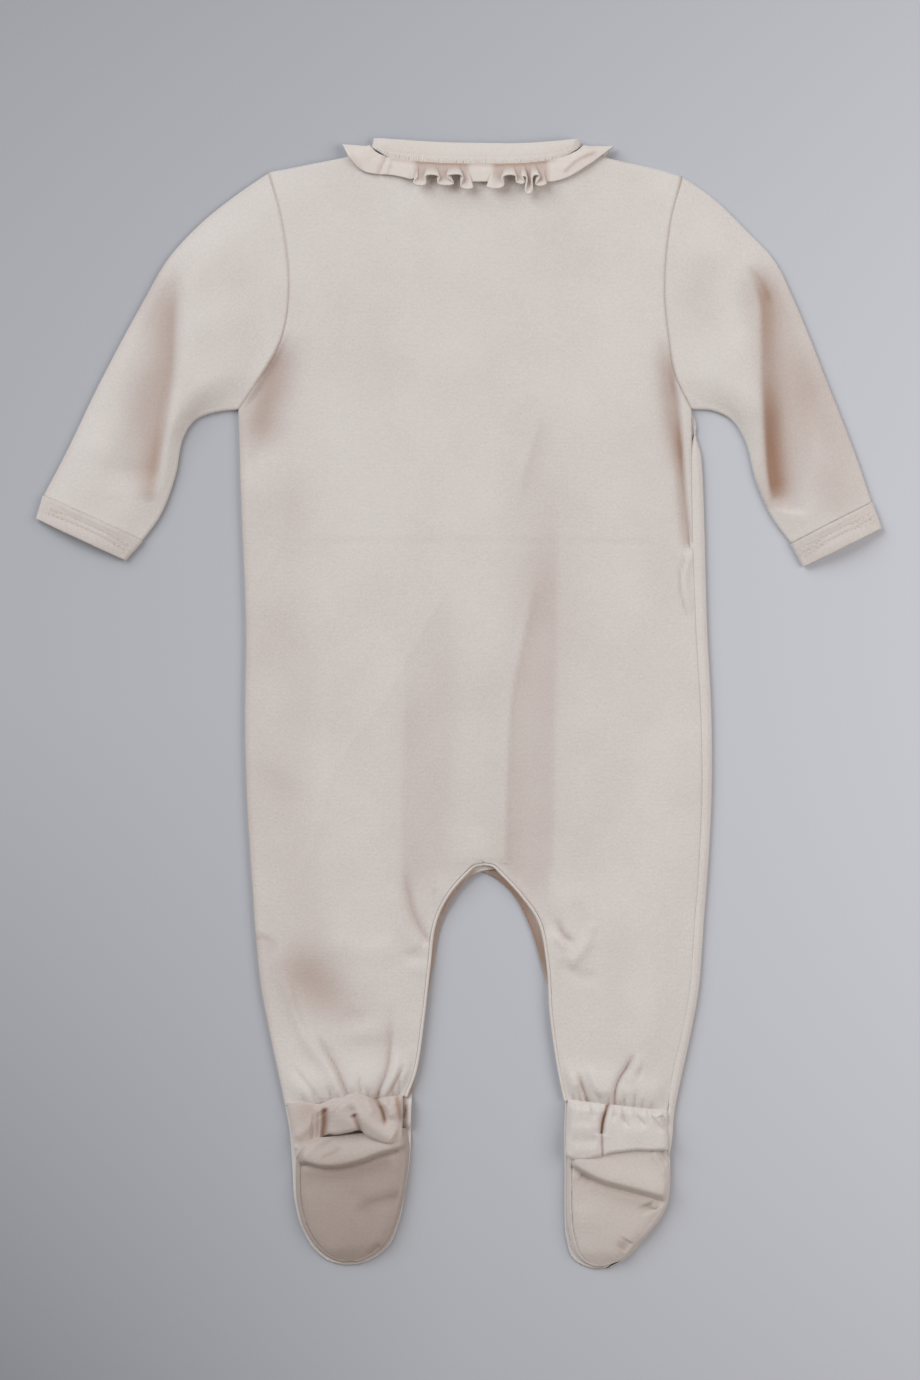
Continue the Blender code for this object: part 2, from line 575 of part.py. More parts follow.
def sleeve_plan(side, rows):
    """Plan of one sleeve between its armhole, cuff seam, underarm edge and outer edge."""
    s = np.linspace(0.0, 1.0, 25)
    outward = -1.0 if side == "left" else 1.0
    line = trunk_rows(side, CENTRE, (BACK_NECK[side], SHOULDER[side]), (0.0, 1.0))[0][:, -1]
    line = line[line[:, 1] > ARMPIT_Y - 1.0][::-1]
    y = line[0, 1] + s * (line[-1, 1] - line[0, 1])
    armhole = np.stack([np.interp(y, line[:, 1], line[:, 0]), y], axis=1)
    armhole[:, 0] += outward * SEAM
    pace = np.array(SLEEVE_PACE)
    under = along(SLEEVE_UNDER[side], hermite(pace[:, 0], pace[:, 1], rows)[:, 0])
    outer = along(SLEEVE_OUTER[side], hermite(pace[:, 0], pace[:, 2], rows)[:, 0])
    under[:, 0] += outward * SEAM * (1 - rows)
    outer[:, 0] += outward * SEAM * (1 - rows)
    cuff = under[-1] + s[:, None] * (outer[-1] - under[-1])
    plan = []
    for k, t in enumerate(rows):
        straight = under[k] + s[:, None] * (outer[k] - under[k])
        first = armhole[0] + s[:, None] * (armhole[-1] - armhole[0])
        plan.append(straight + (1 - t) * (armhole - first))
    plan[-1] = cuff
    return plan


def add_sleeve(side):
    """One sleeve: a flattened tube from the armhole to the cuff."""
    rows = np.linspace(0.0, 1.0, 10)
    rings = []
    for t, plan in zip(rows, sleeve_plan(side, rows)):
        width = np.hypot(*(plan[-1] - plan[0]))
        crown = BACK_HEIGHT + (TUBE_CROWN - BACK_HEIGHT) * smooth(t / 0.3)
        rings.append(flat_ring(plan, width, crown))
    add_sheet("sleeve_" + side, np.array(rings), BACK_COLOUR, ring=True)


def add_cuff(side):
    """Turned hem of one sleeve: a double band with an open end."""
    start = (SLEEVE_UNDER[side][-1], SLEEVE_OUTER[side][-1])
    rings = []
    for t in (0.05, 0.5, 1.0):
        a = np.array(start[0]) * (1 - t) + np.array(CUFF_END[side][0]) * t
        b = np.array(start[1]) * (1 - t) + np.array(CUFF_END[side][1]) * t
        plan = a + np.linspace(0.0, 1.0, 9)[:, None] * (b - a)
        ring = np.array(flat_ring(plan, np.hypot(*(b - a)), CUFF_CROWN))
        ring[:, 2] += (BAND_THICK - CLOTH) / 2
        rings.append(ring)
    add_sheet("cuff_" + side, np.array(rings), CUFF_COLOUR, ring=True, thickness=BAND_THICK)


# ---- feet ------------------------------------------------------------------------------------
def add_heel(side):
    """Gathered heel below the ankle elastic: its folded layers are one rounded solid."""
    s = np.linspace(0.0, 1.0, 10)
    top_edge = along(HEEL_EDGES[side][0], s)
    bottom_edge = along(HEEL_EDGES[side][1], s)
    rounds = ((0.0, 0.45), (0.06, 0.75), (0.25, 1.0), (0.6, 1.0), (0.85, 0.93), (0.96, 0.7), (1.0, 0.45))
    upper = []
    lower = []
    for t, share in rounds:
        plan = top_edge * (1 - t) + bottom_edge * t
        across = 0.45 + 0.55 * rounding(np.minimum(s, 1 - s) * 60.0, 7.0)
        base = HEEL_BASE + (HEEL_LIP - HEEL_BASE) * smooth((t - 0.5) / 0.25)
        crown = base + (HEEL_CROWN - base) * share * across
        upper.append(np.column_stack([plan, crown]))
        lower.append(np.column_stack([plan, np.full(len(s), base)]))
    upper, lower = np.array(upper), np.array(lower)
    rows, columns = upper.shape[:2]
    shift = rows * columns
    faces = grid_faces(rows, columns)
    faces += [tuple(shift + i for i in reversed(face)) for face in grid_faces(rows, columns)]
    border = [(0, c) for c in range(columns)] + [(r, columns - 1) for r in range(1, rows)]
    border += [(rows - 1, c) for c in range(columns - 2, -1, -1)] + [(r, 0) for r in range(rows - 2, 0, -1)]
    ids = [r * columns + c for r, c in border]
    for a, b in zip(ids, ids[1:] + ids[:1]):
        faces.append((a, b, b + shift, a + shift))
    points = np.concatenate([upper.reshape(-1, 3), lower.reshape(-1, 3)])
    add_object("heel_" + side, points, faces, HEEL_COLOUR)


def add_sole(side):
    """One sole: from its fold under the heel to the toes, over the front of the foot."""
    columns = (0.0, 0.05, 0.14, 0.32, 0.5, 0.68, 0.86, 0.95, 1.0)
    rows = along_rows(SOLE[side], 14)
    plan = patch(rows[:, 0:2], rows[:, 2:4], columns)
    width = np.hypot(*(rows[:, 2:4] - rows[:, 0:2]).T)[:, None]
    s = np.asarray(columns)[None, :]
    across = rounding(np.minimum(s, 1 - s) * width, 9.0)
    height = SOLE_RIM + (rows[:, 4:5] - SOLE_RIM) * across
    add_sheet("sole_" + side, np.dstack([plan, height]), SOLE_COLOUR)


# ---- trimmings -------------------------------------------------------------------------------
def add_strip(name, stations, steps, columns, colour, thickness):
    """A strip along stations that each give its seam edge and its free edge; steps between two."""
    stops = np.arange(len(stations))
    rows = hermite(stops, stations, np.linspace(0, stops[-1], stops[-1] * steps + 1))
    s = np.array(columns)[None, :, None]
    grid = rows[:, None, 0:3] * (1 - s) + rows[:, None, 3:6] * s
    add_sheet(name, grid, colour, thickness=thickness)


def add_frill():
    """Gathered frill: flat under the fronts and at the shoulders, ruffled across the back."""
    stops = np.array(FRILL)
    length = np.concatenate([[0.0], np.cumsum(np.hypot(*np.diff(stops[:, 3:5], axis=0).T))])
    ruffled = np.linspace(length[7], length[12], 44)
    ends = (np.linspace(0.0, length[7], 18)[:-1], ruffled, np.linspace(length[12], length[-1], 18)[1:])
    rows = hermite(length, stops, np.concatenate(ends))
    rows[:, [2, 5]] = np.maximum(rows[:, [2, 5]], FRILL_WALL / 2 + 0.1)
    over_back = rows[:, 2] > 5.0
    s = np.array((0.0, 0.5, 1.0))[None, :]
    grid = rows[:, None, 0:3] * (1 - s[:, :, None]) + rows[:, None, 3:6] * s[:, :, None]
    for x, half, rise in RUFFLES:
        wave = np.exp(-(((rows[:, 3] - x) / half * 1.5) ** 2)) * over_back
        grid[:, :, 2] += rise * wave[:, None] * smooth(s)
    add_sheet("neck_frill", grid, FRILL_COLOUR, thickness=FRILL_WALL)


def add_inseam_binding():
    """Narrow rolled binding on the back's inner leg edges, from ankle to ankle over the crotch."""
    left = along_rows(BACK_LEG["left"], 20)[::-1, 0:2]
    right = along_rows(BACK_LEG["right"], 20)[1:, 0:2]
    route = np.concatenate([left, right])
    run = np.gradient(route, axis=0)
    normal = np.column_stack([run[:, 1], -run[:, 0]]) / np.hypot(*run.T)[:, None]
    route = route + normal * (INSEAM_RADIUS + INSEAM_GAP)
    curve = bpy.data.curves.new("inseam_binding", "CURVE")
    curve.dimensions = "3D"
    curve.bevel_depth = INSEAM_RADIUS * MM
    curve.bevel_resolution = 1
    curve.use_fill_caps = True
    line = curve.splines.new("POLY")
    line.points.add(len(route) - 1)
    for point, (x, y) in zip(line.points, route):
        point.co = (x * MM, y * MM, inseam_height(y) * MM, 1.0)
    curve.materials.append(cloth_material("inseam_binding", INSEAM_COLOUR))
    thing = bpy.data.objects.new("inseam_binding", curve)
    bpy.context.scene.collection.objects.link(thing)


def add_disc(name, radius, y, bottom, thick, colour):
    """A flat round piece of a press stud on the centre line."""
    mesh = bpy.data.meshes.new(name)
    work = bmesh.new()
    bmesh.ops.create_cone(work, cap_ends=True, segments=14, radius1=radius * MM,
                          radius2=radius * MM, depth=thick * MM)
    work.to_mesh(mesh)
    work.free()
    mesh.materials.append(cloth_material(name, colour, 0.35))
    thing = bpy.data.objects.new(name, mesh)
    thing.location = (CENTRE * MM, y * MM, (bottom + thick / 2) * MM)
    bpy.context.scene.collection.objects.link(thing)


def add_studs():
    """Press studs of the front opening: a cap outside, its joined socket between the fronts."""
    core_bottom = FLOOR_LAYER + PLACKET_LIFT + CLOTH / 2 + 0.3
    for k, y in enumerate(np.linspace(STUD_TOP_Y, STUD_BOTTOM_Y, STUD_COUNT), start=1):
        add_disc(f"stud_cap_{k}", STUD_RADIUS, y, 0.0, CAP_THICK, CAP_COLOUR)
        add_disc(f"stud_socket_{k}", STUD_RADIUS * 0.75, y, core_bottom, CORE_THICK, SOCKET_COLOUR)


def build():
    """All pieces of the suit."""
    for thing in list(bpy.data.objects):
        bpy.data.objects.remove(thing, do_unlink=True)
    add_back()
    add_fronts()
    for side in ("left", "right"):
        add_sleeve(side)
        add_cuff(side)
        add_heel(side)
        add_sole(side)
    add_strip("neck_binding", BINDING, 3, (0.0, 0.5, 1.0), BINDING_COLOUR, BINDING_THICK)
    add_frill()
    add_inseam_binding()
    add_studs()


build()
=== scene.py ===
"""Looks of a footed baby sleepsuit in cotton interlock, lying flat with its back facing up.

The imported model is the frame. Each piece of cloth here takes the place of its CAD node, on
nearly the same outline, as a thin wall with its creases, gathers and stitches. Lengths are in
millimetres and are scaled once, where the meshes are made. +Z is up, +Y is towards the neck.
"""

import bmesh
import bpy
import numpy as np
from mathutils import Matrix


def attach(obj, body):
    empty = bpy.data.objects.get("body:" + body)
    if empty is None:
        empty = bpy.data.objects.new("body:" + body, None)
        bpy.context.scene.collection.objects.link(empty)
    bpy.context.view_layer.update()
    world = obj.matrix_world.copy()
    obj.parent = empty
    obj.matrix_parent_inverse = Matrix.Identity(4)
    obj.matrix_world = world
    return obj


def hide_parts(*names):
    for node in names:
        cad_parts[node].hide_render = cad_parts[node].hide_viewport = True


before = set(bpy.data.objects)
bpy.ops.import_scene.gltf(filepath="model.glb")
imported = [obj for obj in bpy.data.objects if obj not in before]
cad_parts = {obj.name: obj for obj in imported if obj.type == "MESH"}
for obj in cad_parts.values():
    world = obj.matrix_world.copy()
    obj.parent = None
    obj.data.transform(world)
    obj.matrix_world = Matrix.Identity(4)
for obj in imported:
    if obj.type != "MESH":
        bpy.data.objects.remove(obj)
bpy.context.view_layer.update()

MM = 0.001
CLOTH = 1.2              # room that one layer of interlock takes
CLOTH_SHOWN = 0.95       # its wall
FLOOR_LAYER = CLOTH / 2  # middle of a layer that lies on the floor
CENTRE = 11.0            # x of the centre line of the back
# Heights of the middles of layers above the floor.
BACK_HEIGHT = 4.7        # the back, over the middle of the body
RIDGE = 1.1              # how much higher it lies over the placket
SIDE_HEIGHT = 2.3        # the back at the shoulders, where it lies on a front
LEFT_SIDE_HEIGHT = 1.9   # the back at its left side seam
WRAP_HEIGHT = 2.75       # the back at its right side seam, over the fold of the front
INSEAM_HEIGHT = 3.0      # the back at its inner leg edges
CROTCH_LIFT = 1.4        # how much higher these lie at the crotch
LOWEST = 1.85            # a layer that lies flat on another
TUBE_CROWN = 4.9         # upper layer of a sleeve at its cuff
SOLE_RIM = 1.95
HEEL_BASE = 1.9
HEEL_LIP = 7.4
EDGE_ROUND = 24.0        # width of the slope from an edge up to the body
PLACKET_HALF = 9.0
PLACKET_LIFT = 0.8       # lift of both fronts over the stud caps
STUD_STEP = 2.4          # from the outer front to the inner one, over the sockets
LAP = CLOTH + 0.3        # the same where no stud holds them apart
FRILL_LIFT = 1.5         # lift of the layers over the frill at the front of the neck
BAND_THICK = 1.8         # wall of a cuff
FRILL_WALL = 1.0
SLEEVE_GAP = 0.35        # between a sleeve and the body at the armhole
SIDES = ("left", "right")

# ---- outlines ----------------------------------------------------------------------------------
# Each follows its cloth piece in the CAD part, with rounder toes and crotch. Levels run down the
# body: y, then x of the left and of the right edge. Legs and soles: inner edge x, y, outer x, y.
ARMHOLE_LEVELS = (
    (275.5, -98.5, 115.5), (250, -91.8, 109.6), (215, -88.2, 106.6), (190, -92, 108.8),
    (169, -103.5, 112.8), (153, -114.5, 120.5),
)
SIDE_LEVELS = (
    (153, -114.5, 120.5), (106, -113, 120.8), (38, -110.5, 123), (-8, -111, 125.6), (-50, -110, 126),
    (-84, -108, 124.5),
)
CROTCH_Y = -82.5
BACK_LEG = {
    "left": (
        (13, -82.5, -108, -84), (8.2, -83.3, -107.6, -89.5), (3.5, -87.2, -107, -97),
        (-6.5, -99, -106, -112), (-13.5, -114, -104.6, -129), (-16.5, -137, -102.5, -148),
        (-19.5, -163, -98.5, -169), (-23.5, -190, -93.8, -191), (-28.5, -204, -90, -209),
    ),
    "right": (
        (13, -82.5, 124.5, -84), (17.8, -83.4, 124.2, -90), (22.5, -87.6, 123.6, -98),
        (33.5, -99.5, 122.4, -112), (42.5, -113, 121.3, -128), (47, -135, 119.8, -148),
        (48.8, -162, 115.8, -171), (52.6, -189, 110.6, -193), (56.2, -206.5, 107.9, -212),
    ),
}
FRONT_LEG = {
    "left": (
        (20, -86, -108, -84), (11, -87.5, -107, -96), (-0.5, -97.5, -106, -112), (-9, -114, -104.6, -129),
        (-14, -139, -102.5, -148), (-19.5, -172, -98.5, -171), (-24.5, -206, -90.5, -209),
        (-25, -220, -88, -223), (-25.5, -236, -86.5, -243), (-28, -254, -85.5, -258),
        (-32, -272, -81, -274), (-38.5, -284, -73, -286), (-49, -290.5, -64, -291),
        (-53, -291.6, -60, -291.8),
    ),
    "right": (
        (2, -86, 129, -84), (12.5, -87.5, 128, -97), (26, -97, 126.8, -112), (36.5, -115, 125.7, -129),
        (43.5, -139, 124, -149), (50.5, -172, 119.6, -173), (55, -207, 111.5, -212),
        (54.5, -224, 110.5, -224), (54.8, -243, 110.3, -240), (54.8, -262, 107, -263.5),
        (56, -279, 95.5, -279), (61, -290, 85.5, -289.5), (66.5, -292.8, 79.5, -292.5),
        (69, -293.8, 77.6, -293.6),
    ),
}
# How far the right front passes its side seam: y, width.
WRAP_LEVELS = ((153, 3), (116, 5.5), (38, 5.5), (-64, 4.6), (-148, 4.4), (-212, 4.6))
BACK_NECK = {
    "left": ((11, 278.5), (-15, 279.2), (-36, 281.6), (-45, 286)),
    "right": ((11, 278.5), (36, 279), (54, 282), (63, 286.5)),
}
FRONT_NECK = {
    "left": ((20, 245.5), (-7.5, 247.5), (-25.5, 255.5), (-38.5, 270), (-45, 284.5)),
    "right": ((2, 245.5), (29, 247.5), (46.5, 255.5), (57.5, 270), (63, 285)),
}
SHOULDER = {
    "left": ((-45, 286), (-64, 282), (-82, 278.6), (-98.5, 275.5)),
    "right": ((63, 286.5), (82, 281.5), (102, 277.3), (115.5, 273.5)),
}
SLEEVE_OUTER = {
    "left": (
        (-98.5, 275.5), (-116, 263.5), (-134, 249), (-151, 230.5), (-163, 210), (-185.5, 168),
        (-205.5, 126.5), (-215.5, 107.5),
    ),
    "right": (
        (115.5, 273.5), (132, 262), (151, 243.5), (163.5, 230), (173.5, 210), (190.5, 168),
        (206.5, 126.5), (214, 104),
    ),
}
SLEEVE_UNDER = {
    "left": (
        (-114.5, 153), (-127, 151.5), (-137.5, 147.5), (-143.5, 139), (-148, 118), (-155.5, 98),
        (-165, 84.5),
    ),
    "right": ((120.5, 153), (132, 152.3), (142, 147.5), (149.5, 136), (155, 115), (163.5, 96), (173, 83)),
}
# Rows of a sleeve: share of its length, share of the underarm edge, share of the outer edge.
SLEEVE_PACE = ((0, 0, 0), (0.3, 0.22, 0.32), (0.6, 0.42, 0.74), (1, 1, 1))
CUFF_END = {
    "left": ((-174, 74.5), (-219, 95.5)),
    "right": ((179.5, 71), (219, 90.5)),
}
SOLE = {
    "left": (
        (-28, -220.5, -83, -226.5), (-26.5, -226.5, -84, -234), (-26, -231, -84.3, -239),
        (-26.3, -235.5, -84.5, -244), (-27, -243, -84.5, -250), (-29, -256, -83.5, -261),
        (-33.5, -272, -79, -275), (-40, -283, -71, -285), (-48.6, -288.6, -64.4, -288.9),
        (-53, -290, -60, -290.1),
    ),
    "right": (
        (57.5, -229, 107, -224.5), (57, -235, 108.3, -232), (56.4, -239.5, 109.5, -244),
        (56.2, -243, 108.5, -257.5), (56.2, -250, 106, -264), (56.4, -263, 99.5, -273.5),
        (58, -277, 91.5, -281.5), (62.5, -288, 84.5, -288.8), (67.6, -291.4, 78.6, -291.2),
        (71, -292.4, 75.4, -292.4),
    ),
}
# Binding and frill, in stations round the neck: x, y, z of the one edge, x, y, z of the other.
BINDING = (
    (20, 246.8, 3.8, 20, 253.6, 3.8), (-2, 248.2, 2.8, 0, 254.8, 2.8), (-22.5, 257, 1.9, -17.5, 262, 1.3),
    (-36, 272, 1.8, -29.5, 275, 1.1), (-42.4, 284, 1.5, -36.6, 285.8, 1),
    (-43.4, 287, 1.6, -42, 291.6, 1.4), (-44.8, 287.8, 3.1, -43.6, 293, 2.8),
    (-43.2, 287.2, 4.6, -41.8, 292.6, 4.3), (-35.5, 282.6, 5, -32, 292, 4.8),
    (-14, 280, 5, -12, 290.8, 4.2), (11, 279.3, 5.4, 11, 290.2, 4.4), (35, 279.9, 5, 33, 290.2, 4.2),
    (53, 282.9, 5, 50, 291.2, 4.8), (61, 287.4, 4.6, 59.6, 292.2, 4.3),
    (62.8, 288.2, 3.1, 61.4, 292.6, 2.8), (61.4, 287, 1.6, 60, 290.8, 1.4),
    (60.4, 284, 1.5, 54, 285.6, 1), (54.8, 271.5, 1.8, 48.5, 275, 1.1),
    (44, 257.2, 1.9, 39.5, 262.6, 1.2), (25, 248.8, 1.7, 23.5, 255.4, 1.4),
    (2, 246.8, 1.4, 2, 253.6, 1.4),
)
FRILL = (
    (-16, 250, 0.6, -20, 240, 0.6), (-26, 256, 0.6, -33.5, 247.5, 0.6),
    (-38.5, 269.5, 0.6, -48.5, 264.5, 0.6), (-44.5, 281.5, 0.6, -55.5, 278.5, 0.6),
    (-46, 287.4, 0.8, -58.8, 286.8, 0.7), (-46.4, 288.6, 3.4, -60.4, 289.8, 3.4),
    (-45.8, 287.4, 6.2, -57, 283, 6.8), (-41.5, 283.6, 6.6, -50, 275.8, 6.8),
    (-30, 280.8, 6.6, -33, 273.2, 7), (-14, 279, 6.8, -14, 269, 7.4), (11, 278.2, 7.4, 11, 270, 7.6),
    (36, 278.8, 6.8, 37, 268.8, 7.4), (50, 280.8, 6.6, 54, 271.5, 7), (60, 284.6, 6.4, 68, 279.5, 6.6),
    (64.6, 288, 5.8, 78, 287, 5), (65.4, 288.8, 3.4, 80.4, 288.8, 3.2),
    (65, 287.6, 0.8, 77.5, 286.4, 0.7), (62.5, 281, 0.6, 73, 276.5, 0.6),
    (57.5, 269, 0.6, 66.5, 262.5, 0.6), (47, 255.5, 0.6, 54, 247, 0.6),
    (38, 250.8, 0.6, 42.5, 240.8, 0.6),
)
# Section of the side fold, from the lower layer round its edge to the layer turned in: x from
# the edge, rise.
FOLD_PATH = ((-4.4, 0), (-0.9, 0.05), (0, 1), (-1.6, 2.2), (0, 1.9))


# ---- curves ------------------------------------------------------------------------------------
def hermite(knots, values, at):
    """Smooth curve through values at rising knots, read at the places in `at`."""
    knots = np.asarray(knots, float)
    values = np.asarray(values, float).reshape(len(knots), -1)
    at = np.clip(np.asarray(at, float), knots[0], knots[-1])
    step = np.diff(knots)[:, None]
    slope = np.diff(values, axis=0) / step
    tangent = np.vstack([slope[:1], slope, slope[-1:]])
    tangent = (tangent[:-1] + tangent[1:]) / 2
    i = np.clip(np.searchsorted(knots, at, side="right") - 1, 0, len(knots) - 2)
    h = step[i]
    u = ((at - knots[i]) / h[:, 0])[:, None]
    start = (2 * u**3 - 3 * u**2 + 1) * values[i] + (u**3 - 2 * u**2 + u) * h * tangent[i]
    return start + (3 * u**2 - 2 * u**3) * values[i + 1] + (u**3 - u**2) * h * tangent[i + 1]


def run_of(points, slack=0.0):
    """Length in plan from the first point to each, with some slack at every step."""
    return np.concatenate([[0.0], np.cumsum(np.hypot(*np.diff(points[:, :2], axis=0).T) + slack)])


def along(points, t):
    """Points at fractions t of the length of a smooth curve through `points`."""
    points = np.asarray(points, float)
    length = run_of(points)
    return hermite(length, points, np.asarray(t, float) * length[-1])


def smooth(t):
    """Smooth step from 0 to 1."""
    t = np.clip(t, 0.0, 1.0)
    return t * t * (3 - 2 * t)


def fade(value, start, end):
    """Smooth step from 0 at `start` to 1 at `end`, which may be the lower of the two."""
    return smooth((value - start) / (end - start))


def bell(distance, half):
    """1 on a line, fading to both sides over `half`."""
    return np.exp(-((distance / half) ** 2))


def slope(distance, reach):
    """Gentle climb from an edge: 0 at the edge, 1 from `reach` inwards."""
    return np.sin(np.clip(distance / reach, 0.0, 1.0) * np.pi / 2) ** 1.15


def rise(distance, reach=EDGE_ROUND):
    """Climb of the cloth from an edge: a small step at the seam, then the slope."""
    return 0.15 * rounding(distance, 2.2) + 0.85 * slope(distance, reach)


def rounding(distance, reach):
    """Rounded edge: 0 at the edge, 1 from `reach` inwards."""
    inside = 1 - np.clip(distance / reach, 0.0, 1.0)
    return np.sqrt(1 - inside**2)


def distance_to(x, y, points):
    """Distance in plan from each place to a line of points."""
    nearest = np.full(np.shape(x), np.inf)
    for (ax, ay), (bx, by) in zip(points[:-1], points[1:]):
        length = (bx - ax) ** 2 + (by - ay) ** 2
        u = np.clip(((x - ax) * (bx - ax) + (y - ay) * (by - ay)) / length, 0.0, 1.0)
        nearest = np.minimum(nearest, np.hypot(x - ax - u * (bx - ax), y - ay - u * (by - ay)))
    return nearest


def under_frill(x, y):
    """Lift of the layers over the part of the frill that lies under the front neckline."""
    lift = 0.0
    for side in SIDES:
        near = distance_to(x, y, FRONT_NECK[side])
        lift = np.maximum(lift, FRILL_LIFT * fade(near, 46, 26))
    return lift * fade(np.abs(x - CENTRE) - PLACKET_HALF, 3, 10)


def inseam_height(y):
    """Middle of the back layer at its inner edges: higher over the overlap at the crotch."""
    return INSEAM_HEIGHT + CROTCH_LIFT * fade(y, -114, -90)


def edge_x(levels, y, side):
    """x of the left or right edge of the trunk at the heights y."""
    rows = np.array(levels)[::-1]
    return hermite(rows[:, 0], rows[:, 1 if side == "left" else 2], y)[:, 0]


def grid_faces(rows, columns, ring=False):
    """Quads of a grid of rows by columns, closed round each row for a ring."""
    faces = []
    for r in range(rows - 1):
        for c in range(columns if ring else columns - 1):
            d = (c + 1) % columns
            faces.append((r * columns + c, r * columns + d, (r + 1) * columns + d, (r + 1) * columns + c))
    return faces


def shifted(faces, start):
    """Faces whose points begin at `start`."""
    return [tuple(start + i for i in face) for face in faces]


def width_of(plan):
    """Distance between the two ends of every row, as a column."""
    return np.hypot(*(plan[:, -1] - plan[:, 0]).T)[:, None]


def inset_from(stops, width):
    """Distance to the nearer of the two edges at each stop across."""
    return np.minimum(stops, 1 - stops) * width


def patch(inner, outer, columns):
    """Plan points on straight rows between two edges."""
    s = np.asarray(columns)[None, :, None]
    return inner[:, None, :] * (1 - s) + outer[:, None, :] * s


def bend_top(plan, top, t, reach=0.45):
    """Carry the top row onto its own curve and let the shift fade down the rows."""
    fade = np.clip(1 - t / reach, 0.0, 1.0)[:, None, None]
    return plan + fade * (top - plan[0])[None]


def wrap_width(y):
    """How far the right front passes its side seam; nothing above the armpit."""
    rows = np.array(WRAP_LEVELS)[::-1]
    return hermite(rows[:, 0], rows[:, 1], y)[:, 0] * fade(y, 152.5, 144.5)


def along_rows(table, at):
    """Rows of a table read at fractions of its length; its first columns are the inner edge."""
    table = np.asarray(table, float)
    knots = run_of((table[:, 0:2] + table[:, 2:4]) / 2)
    return hermite(knots, table, np.asarray(at) * knots[-1])


